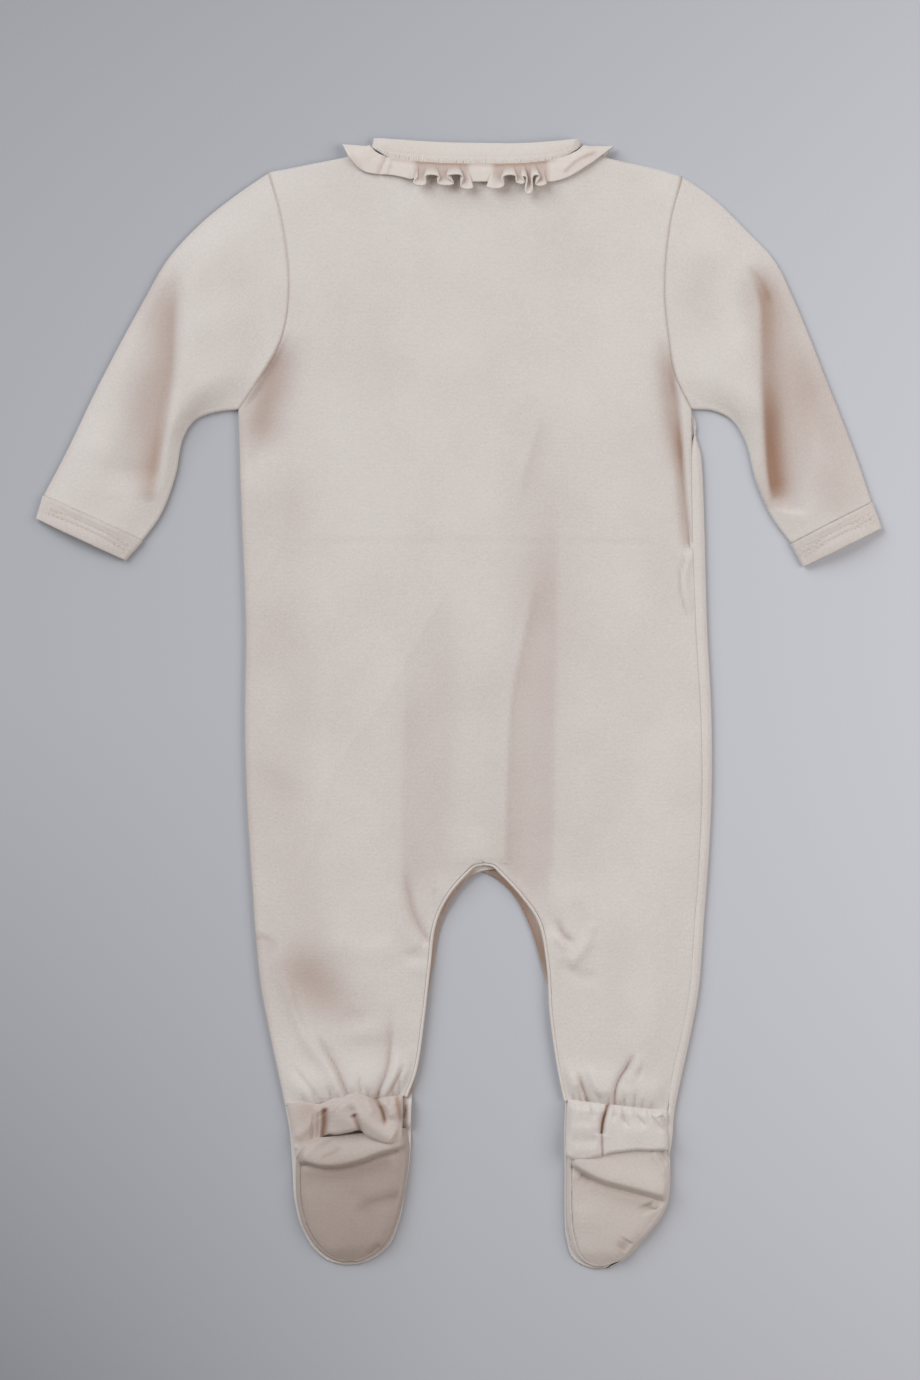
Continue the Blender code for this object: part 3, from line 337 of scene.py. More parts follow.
# ---- creases -----------------------------------------------------------------------------------
# A row for each crease: path, half widths to the left and right of its direction, height
# (a trough is minus), power (1 sharp, 2 soft, 4 flat with steep sides), fade at start and end.
BACK_CREASES = (
    (((52, 165), (49, 60), (46, -20), (38, -84)), (22, 18), -2.5, 2, (70, 0)),
    (((-8, 75), (-9, 0), (-12, -84)), (9, 20), -2, 2, (60, 0)),
    (((86, 200), (88, 60), (84, -40)), (24, 26), 1.5, 2, (60, 80)),
    (((106.6, 194), (112, 160), (114.6, 136), (116, 112)), (1.8, 6.6), -3.4, 2, (30, 34)),
    (((113.4, 146), (116, 117), (117.8, 96), (120.2, 79)), (1.4, 3), -2.6, 2, (24, 4)),
    (((120.4, 77), (117.8, 70), (117, 62), (118.8, 53), (121.6, 45)), (2.2, 1.5), 1.3, 2, (2, 6)),
    (((117.6, 76), (115, 69), (114.4, 61), (116.4, 51), (119.4, 42)), (0.7, 1), -0.7, 2, (2, 6)),
    (((122, 80.5), (115, 78)), (0.8, 1), -1, 2, (0, 4)),
    (((-98, 196), (-99.5, 168), (-106, 138), (-107.5, 110)), (20, 7), -2.8, 2, (24, 30)),
    (((-90.5, 142), (-91, 88), (-95, 76), (-107, 60)), (0.8, 1.2), 0.26, 2, (30, 10)),
    (((-91, 83), (-20, 83.8), (60, 83.4), (114, 82.4)), (1.5, 1), -0.22, 2, (22, 22)),
    (((-91, 86), (114, 85.4)), (3, 2), 0.12, 2, (22, 22)),
    (((-1, 66), (-21, 33.5), (-38, 2), (-65, -36), (-74.5, -71), (-88, -106)), (1, 1.8), 0.3, 2,
     (24, 34)),
    (((41, 72), (34, 36), (27, 0), (25, -40), (24, -80)), (0.9, 3.4), 0.55, 2, (30, 0)),
    (((44, 154), (38.5, 136), (33.6, 119), (30, 100)), (0.9, 2.6), 0.34, 2, (20, 24)),
    (((-2.6, 190), (-2.4, 40)), (4, 5), 0.25, 2, (60, 60)),
    (((62, 250), (40, 214), (8, 196)), (14, 18), -0.7, 2, (30, 30)),
    (((-60, 236), (-42, 200), (-38, 150)), (14, 16), -0.8, 2, (30, 40)),
    (((-70, 60), (-64, 10), (-66, -50)), (18, 18), -0.8, 2, (40, 40)),
    (((-96, 20), (-98, -30), (-94, -80)), (6, 5), 0.5, 2, (30, 40)),
    (((-110, -30), (-70, -62)), (7, 8), -0.8, 2, (20, 30)),
    (((90, -20), (74, -66), (66, -110)), (12, 12), -0.8, 2, (30, 40)),
    (((13, -62), (13, -82)), (9, 9), 0.8, 2, (14, 0)),
    # left leg
    (((-29, -84), (-26.6, -98), (-23, -112), (-15.6, -125)), (3.2, 2), -1.9, 2, (14, 3)),
    (((-34, -92), (-30, -112), (-20, -128)), (2.4, 5), 0.8, 2, (12, 4)),
    (((-34, -130), (-16, -132)), (2.2, 2.6), -0.7, 2, (10, 0)),
    (((-30, -136), (-18, -139)), (2, 2.6), 0.5, 2, (8, 0)),
    (((-104.6, -121), (-96, -124)), (1.2, 1.6), -1.2, 2, (0, 5)),
    (((-100, -127), (-76, -147), (-52, -167)), (12, 13), -1.5, 2, (30, 30)),
    (((-94, -120), (-90, -160)), (7, 7), 1, 2, (16, 20)),
    (((-70, -122), (-50, -128), (-30, -126)), (5, 7), 0.7, 2, (10, 8)),
    (((-62, -160), (-46, -168)), (4, 5), -0.8, 2, (8, 8)),
    (((-92, -136), (-79, -173), (-66.4, -190.5), (-59.6, -205)), (1.5, 4.4), 1.8, 2, (18, 0)),
    (((-75, -172), (-71, -178), (-63.6, -190), (-57.8, -205)), (2.6, 1), -1.9, 2, (12, 0)),
    (((-50, -160), (-48, -180)), (14, 12), 1.5, 2, (14, 12)),
    (((-34.5, -150), (-35.6, -178), (-37.2, -190), (-43.4, -206)), (1.6, 2.4), -2.2, 1, (30, 0)),
    (((-31, -178), (-33.4, -192), (-38, -204)), (2.4, 2), 1.5, 2, (12, 0)),
    (((-27.5, -186), (-33, -196), (-38.8, -206)), (1, 1.3), -1.6, 1, (10, 0)),
    (((-88, -186), (-78.5, -198), (-70.6, -208)), (1, 1.5), -1, 2, (12, 0)),
    (((-84, -196), (-74, -208)), (3, 2.4), 0.9, 2, (10, 0)),
    # right leg
    (((30, -84), (40, -104), (50, -124)), (8, 6), -1.5, 2, (10, 12)),
    (((60, -100), (66, -116), (74, -124)), (4, 4.6), -0.8, 2, (8, 8)),
    (((69, -112), (68, -121), (62.4, -130), (55, -138)), (2.6, 2.4), 1.3, 2, (6, 6)),
    (((50, -112), (54, -121), (60.6, -125)), (2.2, 1.8), -1.5, 2, (4, 4)),
    (((50.5, -122), (56, -128)), (1.8, 1.8), 0.8, 2, (0, 3)),
    (((52, -134), (62, -141), (76, -143)), (3.4, 4), -0.9, 2, (3, 10)),
    (((97, -120), (100, -150), (97, -180), (92.8, -195)), (8, 6), 0.8, 2, (24, 8)),
    (((82, -110), (84, -150), (88, -176)), (7, 8), -0.6, 2, (24, 12)),
    (((91.4, -180), (86.9, -189), (82.2, -196.5), (80.6, -203), (80.9, -211)), (1.7, 1.3), -3.4, 1,
     (12, 0)),
    (((95, -180), (90, -190), (85.4, -198)), (3.4, 2.4), 1.2, 2, (10, 6)),
    (((61, -190), (64.6, -200), (69.2, -211)), (1.5, 2.6), -3, 1, (9, 0)),
    (((59, -190), (61.6, -202)), (2.5, 2), 1.4, 2, (9, 5)),
    (((66.5, -186), (70.5, -197), (74.4, -205)), (2.8, 2.2), 1.5, 2, (9, 4)),
    (((70.4, -199), (74.2, -209)), (1.1, 1.2), -1.8, 1, (6, 0)),
    (((96.6, -184), (92.4, -197)), (1, 1.6), -0.8, 2, (8, 6)),
)
# Small gathers over the ankle elastic, a row for each: x there, lean and length of its run
# up the leg, half width, depth.
ANKLE_GATHERS = {
    "left": (
        (-31.6, 1.2, 13, 1.2, 1.6), (-34.6, 0.4, 8, 0.9, 1.4), (-41.2, -0.6, 6, 0.8, 1.2),
        (-46.9, -0.8, 8, 0.9, 1.8), (-50.6, -1.8, 17, 1.2, 1.7), (-54.4, -1, 8, 1, 1.6),
        (-62.2, -1, 6, 0.9, 1), (-65.6, -2.6, 11, 1, 1.5), (-73.4, -4, 9, 1, 1), (-79, -3, 6, 0.9, 0.6),
    ),
    "right": (
        (59.6, -0.6, 6, 0.9, 1), (63.4, -1.6, 7, 1, 1.6), (66.4, -1.2, 5, 0.8, 1.2),
        (77.4, 0.5, 8, 0.9, 1.9), (83.4, 0.6, 5, 0.8, 1.3), (86.2, -1, 10, 1.1, 2),
        (90.4, 1.6, 12, 1, 1.8), (94.4, 1.2, 7, 0.9, 1.3), (98.6, 2.4, 6, 0.9, 0.9),
    ),
}
SLEEVE_CREASES = {
    "left": (
        (((-142, 236), (-146.7, 222), (-148.6, 200), (-150.2, 172.5), (-154.7, 152), (-158, 131),
          (-160.5, 106)), (4.6, 19), -5.2, 2, (40, 16)),
        (((-132, 214), (-128, 180)), (18, 12), 1.2, 2, (24, 20)),
        (((-186, 152), (-194, 122)), (12, 12), 1.2, 2, (22, 16)),
        (((-116, 236), (-107, 200), (-106, 170)), (10, 12), -0.4, 2, (20, 20)),
        (((-104, 168), (-114, 156)), (1, 1.4), -0.5, 2, (6, 2)),
        (((-137, 146), (-146, 150)), (1.4, 1.4), -0.6, 2, (2, 5)),
    ),
    "right": (
        (((149, 228), (156.1, 217.9), (162.3, 205.5), (169.2, 186.2), (173.7, 165.6), (174.4, 151.8),
          (171.5, 133.9), (167.1, 117.4), (164.3, 99.5)), (12, 14), -5, 3, (24, 3)),
        (((148, 228.5), (156.4, 218.6), (162, 206), (166, 194)), (1.4, 0.9), -1, 1, (10, 12)),
        (((142, 200), (150, 168), (155, 142)), (6, 12), 1.4, 2, (24, 14)),
        (((181, 178), (188, 150), (194, 122)), (14, 5), -1.4, 2, (24, 18)),
        (((164, 105.5), (165.6, 98)), (1.6, 1.6), 1.6, 2, (1.5, 2.5)),
        (((161, 108), (162.8, 101), (165.4, 96.5)), (0.9, 0.9), -1.2, 1, (2, 0)),
        (((167.6, 106), (166.6, 97)), (0.9, 1), -1.4, 1, (2, 1)),
        (((130, 236), (124, 214), (116, 195)), (10, 10), -0.6, 2, (16, 20)),
    ),
}
# Painted shade: shares of warm shade that troughs, gathers, seams and edges add to the colour of the cloth.
HOLLOW_SHADE = 0.05      # warm shade for each millimetre of depth of a trough
GATHER_SHADE = 0.30      # the same along each small gather
ARMHOLE_SHADE = {
    side: (((SHOULDER[side][-1],) + tuple((row[k], row[0]) for row in ARMHOLE_LEVELS[1:]),
            (0.7, 0.7), 0.45, 2, (0, 0)),)
    for k, side in enumerate(SIDES, 1)
}
# A row for each painted shade, as for a crease, with its share of shade in place of the height.
BACK_SHADES = (
    (((-92, 196), (-96, 172), (-102, 150), (-108, 128)), (11, 9), 0.42, 2, (20, 20)),
    (((106.4, 194), (111, 170), (113.4, 152), (115.4, 134), (116.4, 108)), (1.6, 7.6), 0.44, 2, (24, 36)),
    (((112.8, 152), (115.6, 130), (117, 112), (118.6, 96), (120.6, 80)), (1.2, 3.4), 0.46, 2, (24, 3)),
    (((117.6, 76), (115, 69), (114.4, 61), (116.4, 51), (119.4, 42)), (0.6, 0.7), 0.34, 2, (1, 8)),
    (((49.4, 120), (49, 60), (48.2, -20), (47, -84)), (1.9, 16), 0.14, 2, (60, 0)),
    (((41.4, 72), (34.6, 36), (27.8, 0), (25.8, -40), (24.8, -80)), (7, 0.8), 0.15, 2, (24, 0)),
    (((44.6, 154), (39.2, 136), (34.4, 119), (31, 100)), (6, 0.8), 0.12, 2, (20, 24)),
    (((10, 60), (8, 0), (6, -84)), (18, 22), 0.07, 4, (60, 0)),
    (((-28, 40), (-27, 0), (-28.4, -60), (-28, -92)), (11, 1.6), 0.1, 2, (50, 0)),
    (((-96, 140), (-96, 20), (-92, -84), (-84, -130), (-74, -176)), (20, 26), 0.13, 4, (40, 20)),
    (((-20, 264), (20, 260), (60, 268)), (9, 7), 0.09, 2, (12, 12)),
    (((-104, -122), (-88, -133), (-72, -147), (-56, -163), (-46, -178)), (15, 13), 0.28, 2, (34, 40)),
    (((-104, -122), (-92, -125)), (2, 5), 0.2, 2, (0, 6)),
    (((-28.6, -84), (-26.2, -98), (-22.6, -112), (-15.6, -124.6)), (1.8, 1), 0.38, 2, (20, 2)),
    (((51, -114), (55, -121), (60, -124.4)), (1.8, 1.8), 0.3, 2, (4, 4)),
    (((91.4, -180), (86.9, -189), (82.2, -196.5), (80.6, -203), (80.9, -211)), (1, 0.9), 0.55, 2, (8, 0)),
    (((-34.5, -160), (-35.6, -178), (-37.2, -190), (-43.4, -206)), (1, 1.4), 0.45, 2, (30, 0)),
    (((-27.5, -186), (-33, -196), (-38.8, -206)), (0.9, 1), 0.45, 2, (10, 0)),
    (((-74.6, -172), (-70, -179), (-63, -190.5), (-57.4, -205)), (0.9, 0.9), 0.5, 2, (16, 0)),
    (((61, -190), (64.6, -200), (69.2, -211)), (1, 1.2), 0.45, 2, (9, 0)),
    (tuple((row[1], row[0]) for row in SIDE_LEVELS) + ((-104.6, -129), (-98.5, -169), (-90, -209)),
     (1.7, 1.7), 0.22, 2, (0, 0)),
)
SLEEVE_SHADES = {
    "left": (
        (((-147, 234), (-148, 215), (-148.6, 197), (-149.5, 172), (-152, 150), (-155, 130), (-158, 114),
          (-160.5, 103)), (2.2, 11), 0.28, 2, (40, 6)),
        (((-152, 152), (-156, 132), (-160, 114), (-161, 103)), (2.4, 6), 0.16, 2, (24, 3)),
        (SLEEVE_OUTER["left"], (1.7, 1.7), 0.18, 2, (0, 0)),
        (((-158, 184), (-166, 158), (-165, 132)), (8, 13), 0.12, 2, (20, 20)),
    ),
    "right": (
        (((146, 228), (152.5, 221), (157, 209), (157.6, 190), (157.6, 165), (158.6, 146), (160.6, 125),
          (163.4, 103)), (9, 1.8), 0.5, 2, (22, 12)),
        (((158.4, 176), (159.6, 148), (161.2, 125), (164, 102)), (9, 2), 0.34, 2, (30, 6)),
        (((148, 227.6), (156.6, 219.4), (162.5, 206.2)), (1.6, 1.6), 0.14, 2, (6, 6)),
        (((130, 240), (126, 214), (122, 180)), (9, 9), 0.08, 2, (14, 24)),
        (((176, 190), (187, 150), (194, 108)), (16, 14), 0.22, 2, (26, 0)),
    ),
}
# Painted shade on the soles; a negative share paints a place lighter.
SOLE_SHADES = {
    "left": (
        (((-30, -254), (-44, -260), (-52, -268)), (5, 4), 0.1, 2, (4, 6)),
        (((-64, -290), (-42, -283)), (7, 7), 0.05, 2, (4, 4)),
        (((-84, -234), (-66, -229.5), (-45, -228.5), (-28, -224)), (7, 8), -0.26, 2, (6, 6)),
        (((-82, -243), (-60, -243.5), (-34, -236.5)), (2, 4), 0.16, 2, (6, 4)),
    ),
    "right": (
        (((60, -243), (74, -250.5), (90, -256), (106, -261)), (1.6, 5), 0.22, 2, (3, 6)),
        (((86, -279), (82, -285)), (5, 4), 0.14, 2, (2, 2)),
    ),
}
# Painted shade spread over each whole sole, heel and cuff, darkest on the left sole.
SOLE_BASE_SHADE = {"left": 0.68, "right": 0.24}
HEEL_BASE_SHADE = {"left": 0.32, "right": 0.02}
CUFF_SHADE = {"left": 0.13, "right": 0.14}
# Painted shade on the fronts where they show in shadow beside the back's inner leg edges and the left heel.
FRONT_SHADES = {
    "left": (
        (tuple(row[:2] for row in FRONT_LEG["left"][1:7]), (2.6, 2.6), 0.8, 2, (2, 4)),
        (((-27.4, -203), (-27, -213), (-27.6, -224)), (1.2, 1.8), 0.6, 2, (2, 3)),
    ),
    "right": (
        (tuple(row[:2] for row in FRONT_LEG["right"][1:5]) + ((49, -165),), (5, 5), 0.95, 2, (2, 40)),
    ),
}


def line_near(x, y, path):
    """Distance to a line of points, its side (left is plus), the run along it and its length."""
    nearest = np.full(np.shape(x), np.inf)
    side = np.zeros(np.shape(x))
    run = np.zeros(np.shape(x))
    start = 0.0
    for (ax, ay), (bx, by) in zip(path[:-1], path[1:]):
        length = np.hypot(bx - ax, by - ay)
        ux, uy = (bx - ax) / length, (by - ay) / length
        t = np.clip((x - ax) * ux + (y - ay) * uy, 0.0, length)
        distance = np.hypot(x - ax - t * ux, y - ay - t * uy)
        closer = distance < nearest
        side = np.where(closer, ux * (y - ay) - uy * (x - ax), side)
        run = np.where(closer, start + t, run)
        nearest = np.minimum(nearest, distance)
        start += length
    return nearest, side, run, start


BLUNT = 0.25             # keeps the line of a sharp crease from ending in an edge
SHARP_REACH = 4.5        # half widths over which a sharp crease counts
SOFT_REACH = 2.6         # the same for the others


def creases(x, y, rows):
    """Sum of the creases at each place."""
    total = np.zeros(np.shape(x))
    for path, (left, right), depth, power, (fade_in, fade_out) in rows:
        path = np.asarray(path, float)
        if len(path) > 2:
            path = along(path, np.linspace(0.0, 1.0, 5 * len(path)))
        reach = (SHARP_REACH if power == 1 else SOFT_REACH) * max(left, right)
        low, high = path.min(axis=0) - reach, path.max(axis=0) + reach
        near = (x > low[0]) & (x < high[0]) & (y > low[1]) & (y < high[1])
        if not near.any():
            continue
        distance, side, run, length = line_near(x[near], y[near], path)
        half = np.where(side > 0, left, right)
        amount = np.exp(-((np.hypot(distance, BLUNT) / half) ** power))
        if fade_in:
            amount *= smooth(run / fade_in)
        if fade_out:
            amount *= smooth((length - run) / fade_out)
        total[near] += depth * amount
    return total


WAVES = (
    (0.021, 0.034, 0.4), (-0.043, 0.027, 2.1), (0.061, -0.018, 4), (0.033, 0.071, 1.2),
    (-0.087, 0.052, 5.3),
)


def drape(x, y, size):
    """Slight uneven lie of the cloth."""
    total = 0.0
    for k, (a, b, phase) in enumerate(WAVES):
        total = total + np.sin(a * x + b * y + phase) / (1 + 0.6 * k)
    return size * total


def gather_rows(side):
    """Crease rows of the small gathers over one ankle elastic."""
    rows = []
    inner, outer = np.array(BACK_LEG[side][-1][0:2]), np.array(BACK_LEG[side][-1][2:4])
    for x, lean, length, half, depth in ANKLE_GATHERS[side]:
        y = inner[1] + (x - inner[0]) / (outer[0] - inner[0]) * (outer[1] - inner[1])
        rows.append((((x + lean, y + length), (x, y - 1.0)), (half, half), -depth, 1, (length * 0.7, 0.0)))
    return rows


# ---- meshes ------------------------------------------------------------------------------------
def hollow(x, y, rows):
    """Share of painted warm shade that the troughs among some creases hold."""
    troughs = [row for row in rows if row[2] < 0]
    return np.clip(-creases(x, y, troughs) * HOLLOW_SHADE, 0.0, 0.7)


def points_of(thing):
    """x, y and z of the points of an object, in millimetres."""
    points = np.empty(len(thing.data.vertices) * 3)
    thing.data.vertices.foreach_get("co", points)
    return points.reshape(-1, 3).T / MM


def store_shade(thing, value):
    """Keep the share of painted shade at each point for the materials."""
    shade = thing.data.attributes.new("shade", "FLOAT", "POINT")
    shade.data.foreach_set("value", np.clip(value, 0.0, 1.0))
    return thing


def add_shade(thing, rows, shades, base=0.0):
    """Store at each point the painted shade: how much of the light its folds hold back."""
    x, y, _ = points_of(thing)
    return store_shade(thing, base + hollow(x, y, rows) + creases(x, y, shades))


def add_to_scene(name, data):
    """A new object of the scene."""
    thing = bpy.data.objects.new(name, data)
    bpy.context.scene.collection.objects.link(thing)
    return thing


def add_object(name, vertices, faces, material):
    """One named object from points in millimetres, with its faces pointing out."""
    mesh = bpy.data.meshes.new(name)
    mesh.from_pydata(np.asarray(vertices, float) * MM, [], faces)
    work = bmesh.new()
    work.from_mesh(mesh)
    bmesh.ops.remove_doubles(work, verts=work.verts, dist=0.00001)
    bmesh.ops.recalc_face_normals(work, faces=work.faces)
    work.to_mesh(mesh)
    work.free()
    mesh.shade_smooth()
    mesh.materials.append(material)
    return add_to_scene(name, mesh)


def add_sheet(name, grid, material, ring=False, thickness=CLOTH_SHOWN):
    """A wall of cloth over a grid of points (rows, columns, xyz)."""
    rows, columns = grid.shape[:2]
    thing = add_object(name, grid.reshape(-1, 3), grid_faces(rows, columns, ring), material)
    add_wall(thing, thickness)
    return thing


def add_wall(thing, thickness=CLOTH_SHOWN):
    """Give a sheet its thickness, half to each side."""
    wall = thing.modifiers.new("wall", "SOLIDIFY")
    wall.thickness = thickness * MM
    wall.offset = 0.0
    wall.use_rim = True


# ---- trunk and legs ----------------------------------------------------------------------------
Y_TOP = 277.0
ARMPIT_Y = 153.0


def even(count, power=1.0):
    """Fractions from 0 to 1, closer together near both ends for a power above 1."""
    t = np.linspace(-1.0, 1.0, count)
    return 0.5 + 0.5 * np.sign(t) * (1 - (1 - np.abs(t)) ** power)


def trunk_rows(side, inner_x, top_curves, columns, rows, wrap=0.0):
    """Plan points of one half of the trunk, from the neck and shoulder to the crotch."""
    y = Y_TOP + rows * (CROTCH_Y - Y_TOP)
    armhole = edge_x(ARMHOLE_LEVELS, np.maximum(y, ARMPIT_Y), side)
    outer_x = np.where(y > ARMPIT_Y, armhole, edge_x(SIDE_LEVELS, np.minimum(y, ARMPIT_Y), side))
    outer_x = outer_x + wrap * wrap_width(y)
    inner = np.stack([np.full(len(y), inner_x), y], axis=1)
    outer = np.stack([outer_x, y], axis=1)
    neck, shoulder = top_curves
    split = 0.5
    top = []
    for s in columns:
        curve, at = (neck, s / split) if s <= split else (shoulder, (s - split) / (1 - split))
        top.append(along(curve, [at])[0])
    return bend_top(patch(inner, outer, columns), np.array(top), rows)


def leg_plan(table, columns, at):
    """Plan points of one leg at fractions of its length."""
    rows = along_rows(table, at)
    return patch(rows[:, 0:2], rows[:, 2:4], columns)


BACK_COLUMNS = even(71, 1.25)
BACK_ROWS = np.linspace(0.0, 1.0, 190)
ANKLE_SWELL = 2.2        # height of the puffed cloth above the ankle elastic
ANKLE_PINCH = 1.3        # depth of the line that the elastic draws
LEG_ROWS = np.concatenate([np.linspace(0.0, 0.72, 60), np.linspace(0.72, 1.0, 46)[1:]])


def back_half(side):
    """Points of one half of the back, from the neck to the ankle."""
    trunk = trunk_rows(side, CENTRE, (BACK_NECK[side], SHOULDER[side]), BACK_COLUMNS, BACK_ROWS)
    leg = leg_plan(BACK_LEG[side], BACK_COLUMNS, LEG_ROWS)
    plan = np.concatenate([trunk, leg[1:]])
    plan[len(trunk) - 1] = leg[0]
    x, y = plan[:, :, 0], plan[:, :, 1]
    width = width_of(plan)
    columns = BACK_COLUMNS[None, :]
    # The slopes: down to the side seam, to the inner leg edge and to the shoulder.
    side_height = LEFT_SIDE_HEIGHT if side == "left" else WRAP_HEIGHT
    below_arm = fade(y[:, -1:], 166, 152)
    outer_edge = BACK_HEIGHT + (side_height - BACK_HEIGHT) * below_arm
    from_side = (1 - columns) * width
    height = BACK_HEIGHT - (BACK_HEIGHT - outer_edge) * (1 - rise(from_side))
    below_crotch = np.arange(len(plan))[:, None] >= len(trunk) - 1
    from_inseam = columns * width
    height = height - below_crotch * (BACK_HEIGHT - inseam_height(y[:, :1])) * (1 - rise(from_inseam))
    shoulder_line = distance_to(x, y, SHOULDER[side])
    height = height - (height - SIDE_HEIGHT - under_frill(x, y)) * (1 - rise(shoulder_line, 18.0))
    # A low ridge down the middle, over the placket.
    ridge = 1 - fade(np.abs(x - CENTRE), 8, 26)
    height = height + RIDGE * ridge * fade(y, -96, -76) * fade(y, 190, 20)
    ends = smooth(shoulder_line / 12.0) * smooth(from_side / 5.0 + 0.25)
    ends = ends * (1 - below_crotch * (1 - smooth(from_inseam / 4.0 + 0.3)))
    # Creases, a swell above the ankle elastic and a pinch along it; all fade at the edges.
    soft = creases(x, y, BACK_CREASES) + drape(x, y, 0.22)
    ankle = BACK_LEG[side][-1]
    from_ankle = distance_to(x, y, (ankle[0:2], ankle[2:4]))
    pinch = ANKLE_PINCH - 1.1 * fade(x, -70, -78)
    swell = ANKLE_SWELL * bell(from_ankle - 9.0, 9.0) - pinch * bell(from_ankle, 2.0)
    soft = soft + swell * smooth(from_side / 9.0) * smooth(from_inseam / 5.0)
    height = height + soft * ends + creases(x, y, gather_rows(side)) * smooth(from_side / 4.0)
    # The armhole seam: a faint turned edge, and its line.
    armhole = (y > ARMPIT_Y - 2.0) * bell(from_side - 1.9, 0.9)
    height = height + 0.05 * armhole - 0.5 * (y > ARMPIT_Y) * np.exp(-from_side / 0.35)
    return np.dstack([plan, np.maximum(height, LOWEST)])


def add_back():
    """The back: trunk and both legs in one sheet, joined along its centre line."""
    vertices, faces = [], []
    for side in SIDES:
        grid = back_half(side)
        rows, columns = grid.shape[:2]
        faces += shifted(grid_faces(rows, columns), len(vertices))
        vertices += list(grid.reshape(-1, 3))
    shift = rows * columns
    for r in range(len(BACK_ROWS)):
        vertices[shift + r * columns] = vertices[r * columns]
    thing = add_object("back", vertices, faces, MATERIALS["interlock"])
    gathers = gather_rows("left") + gather_rows("right")
    lines = tuple((path, (0.7, 0.7), GATHER_SHADE, 2, fades) for path, _, _, _, fades in gathers)
    shades = BACK_SHADES + ARMHOLE_SHADE["left"] + ARMHOLE_SHADE["right"] + lines
    add_shade(thing, BACK_CREASES + tuple(gathers), shades)
    add_wall(thing)
    return thing


FRONT_COLUMNS = np.concatenate([np.linspace(0.0, 0.3, 22), np.linspace(0.3, 0.96, 26)[1:]])
FRONT_ROWS = np.linspace(0.0, 1.0, 120)
FRONT_LEG_ROWS = np.linspace(0.0, 1.0, 120)
FRONT_CREASES = (
    (((-25.8, -203), (-25.2, -212), (-25.6, -221)), (3, 3.2), 3.4, 2, (5, 2)),
    (((-27.6, -210.6), (-28.4, -214.4)), (1, 1.2), -2, 2, (0, 0)),
    (((-25.5, -224), (-26.8, -233)), (1.4, 1.4), 0.9, 2, (2, 5)),
    (((104, -214), (108.5, -226), (108.6, -248)), (4, 3), 1.6, 2, (8, 8)),
)


def front_half(side):
    """Points of one front, from the neck to the toes, with its side fold on the right."""
    outward = -1.0 if side == "left" else 1.0
    inner_x = CENTRE - outward * PLACKET_HALF
    wrap = 0.0 if side == "left" else 1.0
    columns = np.concatenate([FRONT_COLUMNS, [1.0]])
    trunk = trunk_rows(side, inner_x, (FRONT_NECK[side], SHOULDER[side]), columns, FRONT_ROWS, wrap)
    leg = leg_plan(FRONT_LEG[side], columns, FRONT_LEG_ROWS)
    above = FRONT_ROWS < 0.97
    plan = np.concatenate([trunk[above], leg])
    x, y = plan[:, :, 0], plan[:, :, 1]
    height = FLOOR_LAYER + np.maximum(placket_height(x, y, side), under_frill(x, y))
    height = height + np.maximum(creases(x, y, FRONT_CREASES), 0.0)
    grid = np.dstack([plan, height])
    return grid if side == "left" else fold_side(grid)


def fold_side(grid):
    """Turn the outer edge of the right front up and back over itself, below the armpit."""
    edge = grid[:, -1:]
    room = np.clip((edge[:, :, :1] - grid[:, :1, :1]) / 60.0, 0.0, 1.0)
    stops = np.linspace(0.0, 4.0, 17)
    turned = hermite(np.arange(len(FOLD_PATH)), FOLD_PATH, stops)
    flat = edge - room * np.array([[[8.0 - 2.0 * k, 0.0, 0.0] for k in stops]])
    bent = edge + np.array([[[dx, 0.0, dz] for dx, dz in turned]])
    back_reach = wrap_width(edge[:, 0, 1]) + 1.6 - 3.2 * fade(edge[:, 0, 1], -200, -210)
    bent[:, :, 0] -= back_reach[:, None] * np.clip(stops - 3.0, 0.0, 1.0)[None, :]
    y = edge[:, :, 1]
    turn = fade(y, 150, 126) * fade(y, -248, -222)
    share = np.stack([turn, turn, turn], axis=2)
    return np.concatenate([grid[:, :-1], flat + share * (bent - flat)], axis=1)


def placket_height(x, y, side):
    """Lift of a front over the stud caps, and of the inner front over the outer one."""
    studded = fade(y, -86, -74)
    if side == "right":
        return PLACKET_LIFT * studded * (1 - fade(np.abs(x - CENTRE) - PLACKET_HALF, 3, 11))
    over = fade(x - CENTRE + PLACKET_HALF, -14, -5)
    bare = LAP * fade(y, -118, -104)
    return (bare + studded * (PLACKET_LIFT + STUD_STEP - LAP)) * over


def add_front(side):
    """One front; the wearer's right lies outermost, so it is the lower one here."""
    thing = add_sheet("front_panel_" + side, front_half(side), MATERIALS["interlock"])
    return add_shade(thing, (), FRONT_SHADES[side])


# ---- sleeves and cuffs -------------------------------------------------------------------------
SLEEVE_CROWN = 7.6       # middle of a sleeve's upper layer, half way down
TUBE_SLOPE = 20.0        # width of the slope from a sleeve's edges up to its upper layer
TOP_STOPS = even(84, 1.7)
BOTTOM_STOPS = even(30, 1.7)
SLEEVE_ROWS = np.concatenate([[0.0, 0.006, 0.012], np.linspace(0.02, 1.0, 100)])


def tube_ring(plan, bottom_plan, top):
    """Close a row into a flattened tube: across the top, then back along the floor."""
    width = np.hypot(*(plan[-1] - plan[0]))
    inset = inset_from(TOP_STOPS, width)
    low = inset_from(BOTTOM_STOPS, width)
    layers = CLOTH + 0.2
    painted_shade_colour = 0.5 * layers * (1 + rounding(inset, 1.4))
    upper = FLOOR_LAYER + painted_shade_colour + (top - FLOOR_LAYER - layers) * slope(inset, TUBE_SLOPE)
    lower = FLOOR_LAYER + 0.5 * layers * (1 - rounding(low, 1.4))
    over = np.column_stack([plan, upper])
    under = np.column_stack([bottom_plan, lower])[-2:0:-1]
    return np.concatenate([over, under])


